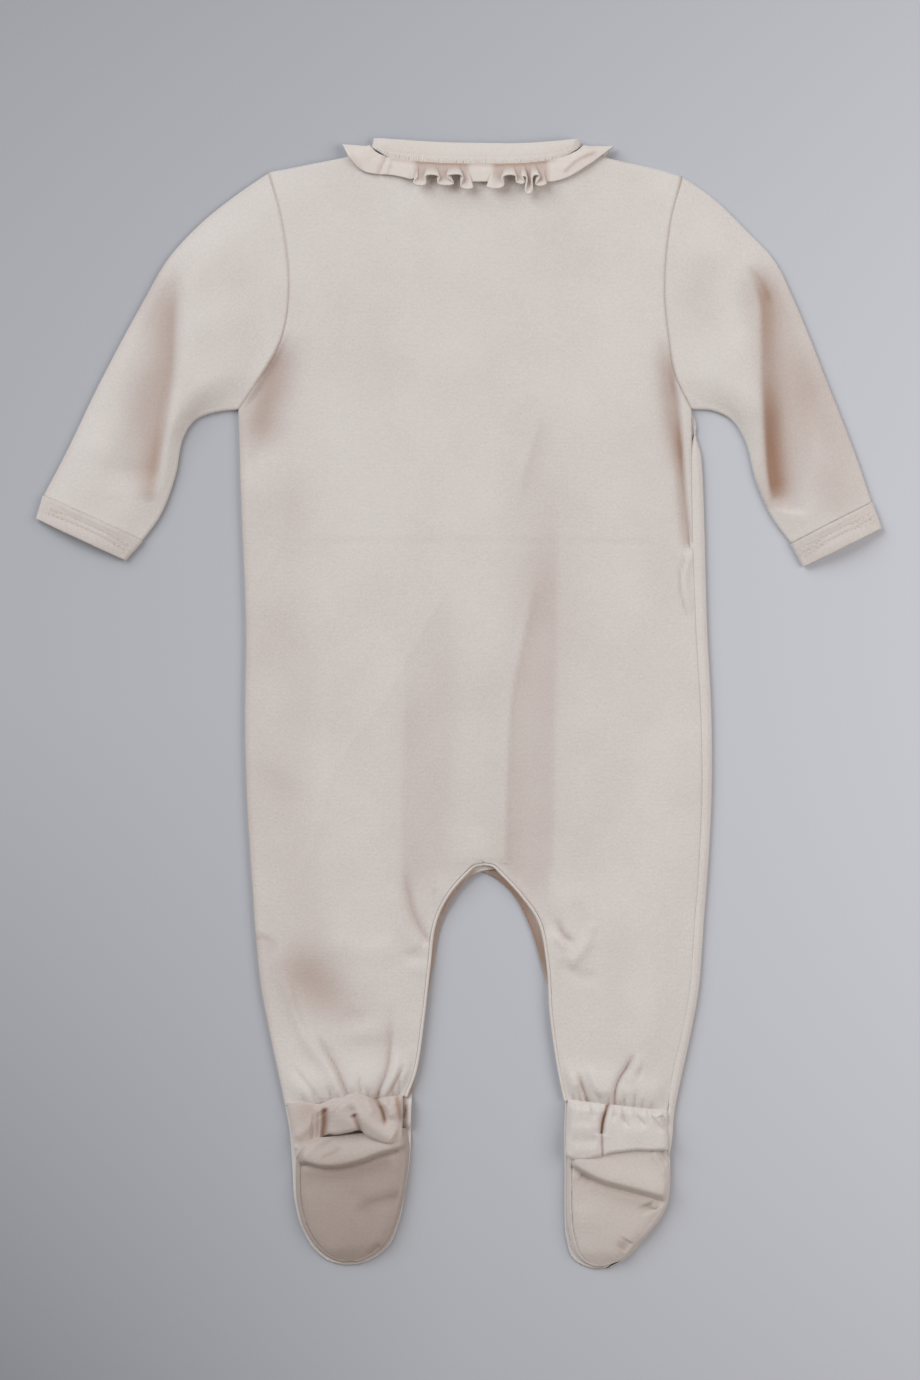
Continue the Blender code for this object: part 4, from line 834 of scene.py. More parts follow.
def sleeve_plan(side, s):
    """Plan of one sleeve between its armhole, cuff seam, underarm edge and outer edge."""
    rows = SLEEVE_ROWS
    gap = -SLEEVE_GAP if side == "left" else SLEEVE_GAP
    y = SLEEVE_UNDER[side][0][1] + s * (SLEEVE_OUTER[side][0][1] - SLEEVE_UNDER[side][0][1])
    armhole = np.stack([edge_x(ARMHOLE_LEVELS, y, side), y], axis=1)
    armhole[:, 0] -= gap
    pace = np.array(SLEEVE_PACE)
    under = along(SLEEVE_UNDER[side], hermite(pace[:, 0], pace[:, 1], rows)[:, 0])
    outer = along(SLEEVE_OUTER[side], hermite(pace[:, 0], pace[:, 2], rows)[:, 0])
    under[:, 0] -= gap * (1 - rows)
    outer[:, 0] -= gap * (1 - rows)
    first = armhole[0] + s[:, None] * (armhole[-1] - armhole[0])
    straight = under[:, None] + s[None, :, None] * (outer - under)[:, None]
    return straight + (1 - rows)[:, None, None] * (armhole - first)[None]


def add_sleeve(side):
    """One sleeve: a flattened tube from the armhole to the cuff."""
    top_plan = sleeve_plan(side, TOP_STOPS)
    bottom_plan = sleeve_plan(side, BOTTOM_STOPS)
    x, y = top_plan[:, :, 0], top_plan[:, :, 1]
    width = width_of(top_plan)
    inset = inset_from(TOP_STOPS, width)
    t = SLEEVE_ROWS[:, None]
    crown = BACK_HEIGHT + (SLEEVE_CROWN - BACK_HEIGHT) * smooth(t / 0.35)
    crown = crown - (SLEEVE_CROWN - TUBE_CROWN) * fade(t, 0.72, 1)
    relief = creases(x, y, SLEEVE_CREASES[side]) + drape(x, y, 0.2)
    relief = relief * smooth(t / 0.1) * fade(t, 1, 0.9)
    # The seams round the armhole and along the underarm.
    armhole = np.hypot(x - x[:1], y - y[:1])
    seam = 0.08 * bell(armhole - 2.0, 0.9) - 0.8 * np.exp(-armhole / 0.4)
    underarm = TOP_STOPS * width
    seam = seam - 0.12 * bell(underarm - 2.6, 0.5)
    top = crown + relief * smooth(inset / 8.0) + seam
    top = np.maximum(top, FLOOR_LAYER + CLOTH + 0.1)
    rings = [tube_ring(top_plan[k], bottom_plan[k], top[k]) for k in range(len(SLEEVE_ROWS))]
    thing = add_sheet("sleeve_tube_" + side, np.array(rings), MATERIALS["sleeve_" + side], ring=True)
    return add_shade(thing, SLEEVE_CREASES[side], SLEEVE_SHADES[side] + ARMHOLE_SHADE[side])


CUFF_ROWS = np.linspace(0.0, 1.0, 24)
NEEDLE_LINES = (0.36, 0.56)      # the two stitch lines of a cuff, as shares of its depth


def cuff_points(side, t, s):
    """Plan and height of a cuff's upper layer at depth t and places s across."""
    under, outer = np.array(SLEEVE_UNDER[side][-1]), np.array(SLEEVE_OUTER[side][-1])
    a = under * (1 - t) + np.array(CUFF_END[side][0]) * t
    b = outer * (1 - t) + np.array(CUFF_END[side][1]) * t
    plan = a + s[:, None] * (b - a)
    # Thicker towards its open end, with a roll at the seam and a groove for each stitch line.
    top = TUBE_CROWN + 0.55 * fade(t, 0.6, 0.8) - 0.3 * fade(t, 0.94, 1)
    top += 0.35 * bell(t - 0.1, 0.08)
    for needle in NEEDLE_LINES:
        top -= 0.4 * bell(t - needle, 0.045)
    wave = 0.10 * np.sin(plan[:, 0] * 2.3) * fade(t, 0.2, 0.5)
    return plan, top + wave


def add_cuff(side):
    """Turned hem of one sleeve: a double band with an open end."""
    rings = []
    for t in CUFF_ROWS:
        plan, top = cuff_points(side, t, TOP_STOPS)
        bottom_plan = cuff_points(side, t, BOTTOM_STOPS)[0]
        ring = tube_ring(plan, bottom_plan, top)
        ring[:, 2] += (BAND_THICK - CLOTH) / 2
        rings.append(ring)
    thing = add_sheet("cuff_band_" + side, np.array(rings), MATERIALS["sleeve_" + side], ring=True,
                      thickness=BAND_THICK)
    return add_shade(thing, (), (), CUFF_SHADE[side])


# ---- feet --------------------------------------------------------------------------------------
# Gathered end of each back leg, below the ankle elastic: top edge and bottom edge.
HEEL_EDGES = {
    "left": (
        ((-28.9, -203.4), (-38, -204), (-44, -205.4), (-48.5, -203.6), (-53, -202.6), (-58, -202.8),
         (-63, -203.6), (-67.5, -205.6), (-71.5, -207.6), (-80, -207), (-89.8, -207.4)),
        ((-29.6, -228.2), (-36.2, -228.9), (-42.6, -227), (-47.4, -224.6), (-51.2, -221.4), (-57, -222.4),
         (-64, -223.6), (-68, -223.4), (-72.4, -226.6), (-79, -231.8), (-84.6, -236.4)),
    ),
    "right": (
        ((56.2, -205.6), (81, -208.4), (108.5, -211.2)),
        ((55, -233.6), (58, -236.4), (64.4, -237.1), (70, -236), (74.2, -235), (77.6, -233.6),
         (85, -232.5), (91.4, -231.8), (99, -232), (108.3, -231.6)),
    ),
}
HEEL_CROWN = {"left": 8.6, "right": 9.0}
LOBE_AT = -57.5          # middle of the left heel's lobe, which puffs over the elastic
HEEL_RIPPLE = 4.2        # from one gather to the next along the right heel's elastic
LOBE_START = 0.6         # share of its height that the lobe has at its upper edge
# Painted shade in the slits and folds of the heels.
HEEL_SHADES = {
    "left": (
        (((-43.4, -204), (-39.6, -211), (-38, -219.4)), (1, 1.2), 0.5, 2, (0, 4)),
        (((-54.6, -212), (-52.4, -217), (-51, -221.5)), (1.2, 1.2), 0.3, 2, (1.5, 0)),
        (((-69.6, -208), (-69.4, -216), (-70.4, -226)), (1.8, 1.6), 0.4, 2, (3, 0)),
        (((-76, -206), (-78, -230)), (9, 7), 0.14, 2, (4, 4)),
        (((-32, -205), (-30, -218)), (1.2, 1.2), 0.5, 2, (0, 4)),
    ),
    "right": (
        (((77.6, -206), (74.8, -215.5), (73.9, -222.5)), (0.9, 0.9), 1, 2, (1, 2)),
        (((73.9, -221), (74.4, -236)), (0.6, 0.6), 0.6, 2, (0.5, 0)),
        (((56, -234), (64.4, -236), (76, -233)), (1.6, 1.2), 0.2, 2, (3, 3)),
    ),
}
HEEL_CREASES = {
    "left": (
        (((-66, -208), (-60, -214), (-54, -216)), (6.5, 6.5), 2.2, 2, (2, 0)),
        (((-56.5, -204), (-50, -212), (-44, -219), (-33, -225.5)), (5, 5), 3, 2, (2, 2)),
        (((-55, -210.6), (-54.6, -212.8)), (1.8, 1.8), -1.2, 2, (0, 0)),
        (((-54.6, -212), (-52.4, -217), (-51, -221.5)), (1.5, 1.7), -2.5, 2, (1.5, 0)),
        (((-43.4, -206), (-39.6, -211), (-38, -219.4)), (1.3, 1.5), -4, 1, (0, 4)),
        (((-39, -205), (-33.4, -216)), (2.4, 2), 1.6, 2, (0, 4)),
        (((-46.6, -205), (-44, -214)), (1.8, 1.6), 1, 2, (0, 4)),
        (((-36.6, -205), (-35.6, -210)), (0.8, 0.8), -1.4, 1, (0, 3)),
        (((-32.6, -205), (-31.6, -211)), (0.9, 0.9), -1.2, 1, (0, 3)),
        (((-69.6, -209), (-69.4, -216), (-70.4, -224.6)), (1.6, 2), -3.4, 2, (3, 0)),
        (((-73, -211), (-73.6, -226)), (0.8, 0.8), -1.3, 2, (3, 1)),
        (((-75.6, -212), (-76.4, -227)), (0.9, 0.9), -1.3, 2, (4, 1)),
        (((-72, -208.6), (-76, -217), (-86, -226)), (3, 2.5), 1.5, 2, (3, 4)),
        (((-83, -231), (-92, -228)), (0.9, 0.9), 0.6, 2, (1, 0)),
    ),
    "right": (
        (((77.2, -209), (74.8, -215.5), (73.6, -223.5)), (1, 1.1), -4.6, 1, (0, 1)),
        (((73.8, -222), (74.4, -236)), (0.55, 0.55), -2.2, 1, (0.5, 0)),
        (((66, -216), (66, -228)), (8, 8), 0.8, 2, (4, 5)),
        (((56, -226), (64, -224.6), (73, -225.8)), (3, 3), -0.5, 2, (3, 3)),
        (((58, -231), (72, -231)), (3, 3), 0.5, 2, (3, 1)),
        (((69.4, -210), (70.2, -216)), (0.9, 0.9), -1.8, 1, (0, 4)),
        (((80.9, -210), (79.8, -218)), (1, 1.2), -2.4, 1, (0, 6)),
        (((85.6, -210.4), (85.6, -216), (89, -220.5)), (1.1, 1.3), -2.6, 1, (0, 6)),
        (((91.4, -211), (93.2, -215.6), (98, -220)), (1.1, 1.3), -2.6, 1, (0, 6)),
        (((97.8, -212), (102.6, -218), (107, -223.6)), (1, 1.2), -1.8, 1, (0, 5)),
        (((104.6, -213), (108.2, -222)), (1.2, 1.6), -2, 2, (1, 3)),
        (((83, -222), (100, -222)), (6, 5), 0.7, 2, (8, 8)),
    ),
}


def add_heel(side):
    """Gathered heel below the ankle elastic: its folded layers are one rounded solid."""
    s = even(120, 1.25)
    t = even(64, 1.4)
    top_edge = along(HEEL_EDGES[side][0], s)
    bottom_edge = along(HEEL_EDGES[side][1], s)
    plan = np.swapaxes(patch(top_edge, bottom_edge, t), 0, 1)
    x, y = plan[:, :, 0], plan[:, :, 1]
    drop = np.hypot(*(bottom_edge - top_edge).T)[None, :]
    across = np.hypot(*(bottom_edge[-1] - bottom_edge[0]))
    base = HEEL_BASE + (HEEL_LIP - 1.2 - HEEL_BASE) * fade(t, 0.5, 0.75)[:, None] * np.ones_like(x)
    crown = HEEL_CROWN[side] + creases(x, y, HEEL_CREASES[side]) + drape(x * 3, y * 3, 0.12)
    # The left heel sinks towards its outer side, and both start low at the elastic.
    if side == "left":
        crown = crown - 2.6 * fade(x, -68, -75) - 1.2 * fade(x, -78, -86)
    crown = crown - 1.6 * fade(t[:, None], 0.16, 0) * fade(x, -76, -70)
    ripple = np.cos(2 * np.pi * x / HEEL_RIPPLE + np.sin(x / 3.1))
    crown = crown + 0.55 * ripple * np.exp(-t[:, None] * drop / 4.0) * (side == "right")
    edges = rounding(inset_from(s, across), 4.0)
    lip = rounding((1 - t)[:, None] * drop, 2.4)
    # How high each place starts at the elastic; the lobe and the outer end start highest.
    first = LOBE_START * np.exp(-(((x - LOBE_AT) / 11.0) ** 4)) + 0.75 * fade(x, -67, -73)
    first = first if side == "left" else 0.12
    start = 0.12 + first + (0.88 - first) * rounding(t[:, None] * drop, 4.0)
    base = np.minimum(base, crown - 1.0)
    # An upper and a lower face, joined round their border.
    upper = np.dstack([plan, base + (crown - base) * np.minimum(edges, 1.0) * lip * start])
    lower = np.dstack([plan, base - 0.05])
    rows, columns = x.shape
    shift = rows * columns
    faces = grid_faces(rows, columns)
    faces += shifted([face[::-1] for face in faces], shift)
    border = [(0, c) for c in range(columns)] + [(r, columns - 1) for r in range(1, rows)]
    border += [(rows - 1, c) for c in range(columns - 2, -1, -1)] + [(r, 0) for r in range(rows - 2, 0, -1)]
    ids = [r * columns + c for r, c in border]
    for a, b in zip(ids, ids[1:] + ids[:1]):
        faces.append((a, b, b + shift, a + shift))
    points = np.concatenate([upper.reshape(-1, 3), lower.reshape(-1, 3)])
    thing = add_object("heel_gathers_" + side, points, faces, MATERIALS["interlock"])
    return add_shade(thing, HEEL_CREASES[side], HEEL_SHADES[side], HEEL_BASE_SHADE[side])


SOLE_SEAM = 2.4          # from the outline to the seam along one side of each sole
# Crown heights down each sole, at even places from its fold to the toes.
SOLE_CROWN = (4.7, 5.5, 5.8, 5.8, 6.0, 6.2, 6.4, 6.2, 5.4, 3.0)
SOLE_CREASES = {
    "left": (
        (((-85.5, -237.6), (-80, -236.4), (-72, -238.2), (-64, -238.4), (-53, -236), (-42, -232),
          (-26, -227.6)), (6.5, 1.5), 3.2, 2, (3, 3)),
        (((-83.2, -240.6), (-79.2, -239.2), (-72, -241.2), (-64.1, -241.4), (-53.7, -239.2),
          (-42.6, -235.2), (-30.6, -231.4)), (0.9, 1.6), -1.5, 2, (2, 3)),
        (((-61, -229.6), (-63.4, -233), (-72, -236.2)), (1.6, 1.6), -1.3, 2, (3, 3)),
        (((-82, -236), (-72, -227.5), (-66, -224)), (1.5, 2.5), 0.9, 2, (2, 2)),
        (((-29, -256), (-46, -260), (-55, -267)), (4, 3.2), -1.1, 2, (3, 8)),
        (((-44, -285.5), (-40, -281)), (3, 3), -1.2, 2, (0, 2)),
        (((-78, -250), (-76, -270)), (5, 5), 0.5, 2, (8, 8)),
        (((-50, -250), (-56, -262)), (9, 9), -0.5, 2, (8, 8)),
    ),
    "right": (
        (((56, -235), (63, -240), (74, -245.6), (86, -249), (98, -252.2), (109, -255.4)), (8, 1.7), 3.4,
         2, (4, 4)),
        (((57.2, -239.4), (63.6, -243.9), (74, -249.4), (85.9, -252.8), (97.8, -256), (108.2, -259.2)),
         (0.9, 1.9), -1.7, 2, (2, 3)),
        (((63, -244.4), (70, -248.6)), (1.2, 3.4), -1.1, 2, (1, 3)),
        (((97, -259), (99.6, -264.6)), (4, 3.2), -1.9, 2, (1.5, 2)),
        (((100.6, -260.2), (101.8, -262.2)), (1.2, 1.2), 1.2, 2, (0.5, 0.5)),
        (((100, -232.5), (105.4, -240), (107, -247)), (1.3, 2), 0.9, 2, (1, 4)),
        (((104.5, -233), (107.5, -240)), (1.5, 2), -1.2, 2, (0, 3)),
        (((88, -278), (84, -284)), (3.6, 3), -1.3, 2, (1, 1)),
        (((66, -258), (66, -276)), (6, 8), 0.6, 2, (8, 8)),
    ),
}


def add_sole(side):
    """One sole: from its fold under the heel to the toes, over the front of the foot."""
    columns = even(84, 1.6)
    at = np.linspace(0.0, 1.0, 110)
    rows = along_rows(SOLE[side], at)
    plan = patch(rows[:, 0:2], rows[:, 2:4], columns)
    x, y = plan[:, :, 0], plan[:, :, 1]
    width = np.hypot(*(rows[:, 2:4] - rows[:, 0:2]).T)[:, None]
    inset = inset_from(columns, width)
    crown = hermite(np.linspace(0.0, 1.0, len(SOLE_CROWN)), SOLE_CROWN, at)
    toe = distance_to(x, y, (plan[-1, 0], plan[-1, -1]))
    # Rounded up from its rim, then creases, the line and roll of the rim, and the side seam.
    across = rounding(inset, 9.0) * rounding(toe, 10.0)
    height = SOLE_RIM + (crown - SOLE_RIM) * across
    relief = creases(x, y, SOLE_CREASES[side]) + drape(x * 3, y * 3, 0.08)
    height = height + relief * smooth(inset / 4.0) - 0.55 * bell(inset - 0.2, 0.5)
    height = height + 0.25 * bell(inset - 1.6, 0.8)
    from_seam = ((1 - columns) if side == "left" else columns)[None, :] * width
    height = height - 0.8 * bell(from_seam - SOLE_SEAM, 0.45) * smooth(toe / 14.0)
    grid = np.dstack([plan, np.maximum(height, LOWEST)])
    thing = add_sheet("sole_panel_" + side, grid, MATERIALS["sole"])
    return add_shade(thing, SOLE_CREASES[side], SOLE_SHADES[side], SOLE_BASE_SHADE[side])


# ---- trimmings ---------------------------------------------------------------------------------
RIB_PITCH = 1.3


def add_binding():
    """Binding of the neckline, with the ribs of its knit drawn in by the seam."""
    stations = np.array(BINDING)
    length = run_of(stations, slack=0.5)
    rows = hermite(length, stations, np.linspace(0.0, length[-1], 800))
    s = np.linspace(0.0, 1.0, 23)[None, :]
    grid = patch(rows[:, 0:3], rows[:, 3:6], s[0])
    run = run_of(rows)[:, None]
    over = fade(rows[:, 2:3], 4, 5)
    ribs = np.cos(2 * np.pi * run / RIB_PITCH + 0.6 * np.sin(run / 7.0))
    ribs = ribs * (0.5 + 0.5 * fade(s, 0.45, 0.15))
    crown = 0.8 * np.sin(np.pi * np.clip(s, 0.0, 1.0)) ** 0.7
    line = bell(s - 0.34, 0.05)
    grid[:, :, 2] += over * (0.13 * ribs + crown - 0.16 * line)
    return add_sheet("neck_band", grid, MATERIALS["binding"], thickness=BAND_THICK - 0.4)


# Ruffles of the frill, a row for each: centre x, half width, roundness of its loop, how far it
# leans to +X, how far it reaches past the free edge.
RUFFLES = (
    (-19.4, 4.9, 0.34, -1.2, 6.4), (-8.6, 6, 0.38, 2.2, 5.2), (2.8, 4.2, 0.46, 1.6, 8),
    (20.4, 6.6, 0.36, -2.2, 7.6), (30.8, 3.6, 0.26, 1.2, 4.4), (36.6, 3, 0.3, -0.6, 9.8),
    (43.6, 4.2, 0.34, -1.6, 6),
)
RUFFLED = ((-25, 7), (15.5, 48))   # stretches of the free edge that stand up in ruffles
BACK_STATIONS = (7, 12)            # first and last station of the frill across the back
RUFFLE_PULL = 4.0
RUFFLE_STAND = 4.0
SEAM_TUCK = 1.1          # how far the frill reaches up to the edge of the binding
FRILL_CREASES = (
    (((-37, 284), (-39, 280), (-41.4, 274)), (1, 1.6), -1, 2, (1, 0)),
    (((-36, 281), (-38, 275)), (1.4, 1.2), 0.7, 2, (1, 0)),
    (((-57.6, 286), (-52, 276)), (1.6, 2.2), 0.5, 2, (1, 0)),
    (((53, 275), (61, 282.4), (71, 286.6)), (1.2, 1.2), 0.7, 2, (2, 3)),
)
FRILL_SHADES = (
    (((-38, 282), (-22, 280.2), (11, 278.8), (36, 279.4), (52, 281.6)), (1, 1), 0.3, 2, (4, 4)),
    (((-37, 284), (-39, 280), (-41.4, 274)), (0.8, 1), 0.3, 2, (1, 0)),
    (((-56, 284), (-50.5, 275.4)), (1.4, 2), 0.14, 2, (1, 0)),
    (((54, 274.4), (62.4, 281.6), (72, 285.6)), (0.9, 0.9), 0.22, 2, (2, 3)),
)


def ruffled(x):
    """1 along the ruffled stretches of the frill, 0 elsewhere."""
    return np.maximum.reduce([fade(x, a, a + 4) * fade(x, b, b - 4) for a, b in RUFFLED])


def add_frill():
    """Gathered frill: flat under the fronts and at the shoulders, ruffled across the back."""
    stops = np.array(FRILL)
    length = run_of(stops[:, 3:5])
    back_from, back_to = (length[k] for k in BACK_STATIONS)
    places = (np.linspace(0.0, back_from, 110)[:-1], np.linspace(back_from, back_to, 520),
              np.linspace(back_to, length[-1], 110)[1:])
    rows = hermite(length, stops, np.concatenate(places))
    rows[:, [2, 5]] = np.maximum(rows[:, [2, 5]], FRILL_WALL / 2 + 0.1)
    over_back = fade(rows[:, 2], 4.6, 5.6)
    s = np.linspace(0.0, 1.0, 22)[None, :]
    grid = patch(rows[:, 0:3], rows[:, 3:6], s[0])
    # Tucked in under the binding, and raised along the ruffled stretches.
    grid[:, :, 1] += SEAM_TUCK * over_back[:, None] * (1 - smooth(s / 0.3))
    grid[:, :, 2] -= 0.9 * over_back[:, None] * (1 - smooth(s / 0.4))
    standing = (ruffled(rows[:, 3]) * over_back)[:, None]
    grid[:, :, 1] += RUFFLE_PULL * standing * s
    grid[:, :, 2] += RUFFLE_STAND * standing * s**1.3
    grid[:, :, 2] += creases(grid[:, :, 0], grid[:, :, 1], FRILL_CREASES) * over_back[:, None]
    # Each ruffle loops sideways, leans, and reaches past the free edge.
    wide = s**0.7
    for x, half, loop, lean, reach in RUFFLES:
        w = np.clip((rows[:, 3] - x) / half, -1.0, 1.0)
        hump = ((1 + np.cos(np.pi * w)) / 2 * over_back)[:, None]
        grid[:, :, 0] += (half * loop * np.sin(2 * np.pi * w) * over_back)[:, None] * wide
        grid[:, :, 0] += lean * hump * s
        grid[:, :, 1] -= reach * hump * wide
        grid[:, :, 2] -= 0.8 * hump * s
    thing = add_sheet("frill", grid, MATERIALS["frill"], thickness=FRILL_WALL * 0.7)
    x, y, z = points_of(thing)
    # Painted shade: darker low in the pockets of the ruffles, and along the frill's creases.
    low = np.clip((10.6 - z) / 3.0, 0.0, 1.0)
    return store_shade(thing, 0.5 * low * ruffled(x) + creases(x, y, FRILL_SHADES))


INSEAM_RADIUS = 0.8
INSEAM_GAP = 0.1         # between the roll and the edge it binds
INSEAM_LIFT = 0.2        # of the roll's middle over the middle of that edge


def add_inseam_binding():
    """Narrow rolled binding on the back's inner leg edges, from ankle to ankle over the crotch."""
    left, right = (along_rows(BACK_LEG[side], np.linspace(0.0, 1.0, 110))[:, 0:2] for side in SIDES)
    route = np.concatenate([left[::-1], right[1:]])
    run = np.gradient(route, axis=0)
    normal = np.column_stack([run[:, 1], -run[:, 0]]) / np.hypot(*run.T)[:, None]
    route = route + normal * (INSEAM_RADIUS + INSEAM_GAP)
    rings = []
    for (x, y), (nx, ny) in zip(route, normal):
        ring = []
        for angle in np.linspace(0.0, 2 * np.pi, 9)[:-1]:
            out = INSEAM_RADIUS * np.cos(angle)
            z = inseam_height(y) + INSEAM_LIFT + INSEAM_RADIUS * np.sin(angle)
            ring.append((x + nx * out, y + ny * out, z))
        rings.append(ring)
    rings = np.array(rings)
    rows, columns = rings.shape[:2]
    faces = grid_faces(rows, columns, ring=True)
    faces += [tuple(range(columns)), tuple((rows - 1) * columns + c for c in range(columns))]
    return add_object("inseam_edge", rings.reshape(-1, 3), faces, MATERIALS["binding"])


# ---- stitches ----------------------------------------------------------------------------------
STITCH_SIDES = 6
STITCH_SHARES = (0.15, 0.8, 1.0, 0.8, 0.15)      # thickness of a stitch down its length


def stitch_run(points, length=2.1, gap=0.6, radius=0.22):
    """Thread of a run of stitches along a line of points: vertices and faces."""
    points = np.asarray(points, float)
    steps = np.linalg.norm(np.diff(points, axis=0), axis=1)
    run = np.concatenate([[0.0], np.cumsum(steps)])
    vertices, faces = [], []
    for start in np.arange(0.0, run[-1] - length, length + gap):
        at = start + np.linspace(0.0, length, len(STITCH_SHARES))
        centre = np.column_stack([np.interp(at, run, points[:, k]) for k in range(3)])
        ahead = centre[-1] - centre[0]
        ahead /= np.linalg.norm(ahead)
        aside = np.cross(ahead, (0.0, 0.0, 1.0))
        aside /= np.linalg.norm(aside)
        up = np.cross(aside, ahead)
        first = len(vertices)
        for c, share in zip(centre, STITCH_SHARES):
            sink = (1 - share) * 0.3
            for angle in np.arange(STITCH_SIDES) * 2 * np.pi / STITCH_SIDES:
                offset = radius * share * (np.cos(angle) * aside + np.sin(angle) * up)
                vertices.append(c + offset - (0.0, 0.0, sink))
        last = (len(STITCH_SHARES) - 1) * STITCH_SIDES
        caps = [tuple(range(STITCH_SIDES)), tuple(range(last, last + STITCH_SIDES))]
        faces += shifted(grid_faces(len(STITCH_SHARES), STITCH_SIDES, ring=True) + caps, first)
    return vertices, faces


def add_stitches(name, runs):
    """Several runs of stitches as one object."""
    vertices, faces = [], []
    for points in runs:
        more, between = stitch_run(points)
        faces += shifted(between, len(vertices))
        vertices += more
    return add_object(name, vertices, faces, MATERIALS["thread"])


def cuff_stitches(side):
    """Two needle lines round the upper layer of a cuff."""
    runs = []
    s = np.linspace(0.03, 0.97, 60)
    for t in NEEDLE_LINES:
        plan, top = cuff_points(side, t, s)
        width = np.hypot(*(plan[-1] - plan[0])) / (s[-1] - s[0])
        inset = inset_from(s, width)
        z = FLOOR_LAYER + (top - FLOOR_LAYER) * (0.5 + 0.5 * rounding(inset, 8.0))
        runs.append(np.column_stack([plan, z + (BAND_THICK - CLOTH) / 2 + BAND_THICK / 2 + 0.02]))
    return add_stitches("cuff_stitches_" + side, runs)


# ---- materials ---------------------------------------------------------------------------------
# Painted shade: the warm tint that shade and a fold's own reflections give the cloth, a row for each: share
# of shade, colour.
FOLD_SHADE_TINTS = (
    (0, (1, 1, 1)), (0.3, (0.86, 0.81, 0.8)), (0.5, (0.76, 0.68, 0.65)), (0.75, (0.62, 0.48, 0.41)),
    (1, (0.5, 0.32, 0.24)),
)
# The same painted shade for the soles, greyer.
SOLE_SHADE_TINTS = ((0, (1, 1, 1)), (0.3, (0.84, 0.8, 0.785)), (0.7, (0.585, 0.52, 0.49)), (1, (0.44, 0.37, 0.33)))


class Nodes:
    """Shorthand for building one material's node tree."""

    def __init__(self, name):
        self.material = bpy.data.materials.new(name)
        self.material.use_nodes = True
        self.tree = self.material.node_tree
        self.shader = self.tree.nodes["Principled BSDF"]

    def add(self, kind, inputs=(), **settings):
        node = self.tree.nodes.new(kind)
        for key, value in settings.items():
            setattr(node, key, value)
        for key, value in dict(inputs).items():
            self.put(node.inputs[key], value)
        return node

    def put(self, socket, value):
        if isinstance(value, bpy.types.NodeSocket):
            self.tree.links.new(value, socket)
        else:
            socket.default_value = value

    def math(self, operation, *values):
        node = self.add("ShaderNodeMath", operation=operation)
        for socket, value in zip(node.inputs, values):
            self.put(socket, value)
        return node.outputs[0]

    def plus(self, a, b):
        return self.math("ADD", a, b)

    def times(self, a, b):
        return self.math("MULTIPLY", a, b)

    def place(self):
        return self.add("ShaderNodeTexCoord").outputs["Object"]

    def noise(self, place, scale, detail, roughness=0.5):
        look = {"Vector": place, "Scale": scale, "Detail": detail, "Roughness": roughness}
        return self.add("ShaderNodeTexNoise", look).outputs[0]

    def ramp(self, share, stops):
        """Colours read at `share` between stops of (place, colour)."""
        node = self.add("ShaderNodeValToRGB", {"Fac": share})
        elements = node.color_ramp.elements
        for _ in stops[2:]:
            elements.new(0.5)
        for element, (at, colour) in zip(elements, stops):
            element.position, element.color = at, (*colour, 1.0)
        return node.outputs[0]

    def finish(self, surface):
        """Set the inputs of the shader and hand over the material."""
        for name, value in surface.items():
            self.put(self.shader.inputs[name], value)
        return self.material


def knit(name, light, deep, turn=0.0, pitch=0.85, shade_tints=FOLD_SHADE_TINTS):
    """Cotton interlock: two close tones, fine wales along `turn`, a soft nap, and painted shade from each
    point's stored share.
    """
    n = Nodes(name)
    place = n.place()
    turned = n.add("ShaderNodeMapping", {"Vector": place, "Rotation": (0.0, 0.0, turn)}).outputs[0]
    axes = n.add("ShaderNodeSeparateXYZ", {"Vector": turned}).outputs
    wale = n.times(axes[0], np.pi / (pitch * MM))
    course = n.times(axes[1], 2 * np.pi / (pitch * 0.8 * MM))
    rib = n.math("ABSOLUTE", n.math("SINE", wale))
    bend = n.times(n.math("ABSOLUTE", n.math("COSINE", wale)), 2.4)
    loop = n.math("SINE", n.plus(course, bend))
    weave = n.plus(n.times(rib, 0.26), n.times(loop, 0.14))
    fuzz = n.noise(place, 2600.0, 3.0, 0.65)
    slub = n.noise(place, 620.0, 2.0)
    height = n.plus(n.plus(weave, n.times(fuzz, 0.9)), n.times(slub, 1.6))
    bump = n.add("ShaderNodeBump", {"Height": height, "Strength": 0.42, "Distance": 0.00032})
    broad = n.noise(place, 26.0, 4.0, 0.55)
    grain = n.noise(place, 900.0, 2.0)
    tone = n.ramp(n.plus(n.times(broad, 0.6), n.times(grain, 0.6)), ((0.38, deep), (0.78, light)))
    # Painted shade: the tone is multiplied by the tint read at each point's stored share of shade.
    shade = n.add("ShaderNodeAttribute", attribute_name="shade").outputs["Fac"]
    painted_shade_colour = n.add("ShaderNodeMix", data_type="RGBA", blend_type="MULTIPLY")
    # The colour sockets of a mix node share their names with others, so they go by number.
    for socket, value in ((0, 1.0), (6, tone), (7, n.ramp(shade, shade_tints))):
        n.put(painted_shade_colour.inputs[socket], value)
    return n.finish({
        "Base Color": painted_shade_colour.outputs[2],
        "Normal": bump.outputs[0],
        "Roughness": 0.92,
        "Sheen Weight": 0.35,
        "Sheen Roughness": 0.55,
        "Sheen Tint": (1.0, 0.93, 0.88, 1.0),
        "Specular IOR Level": 0.25,
    })


def smooth_metal(name, colour, metallic):
    """Painted or bare metal of a press stud, with faint wear."""
    n = Nodes(name)
    wear = n.noise(n.place(), 700.0, 3.0)
    worn = [c * 0.93 for c in colour]
    return n.finish({
        "Base Color": n.ramp(wear, ((0.0, worn), (1.0, colour))),
        "Roughness": n.plus(0.28, n.times(wear, 0.12)),
        "Metallic": metallic,
    })


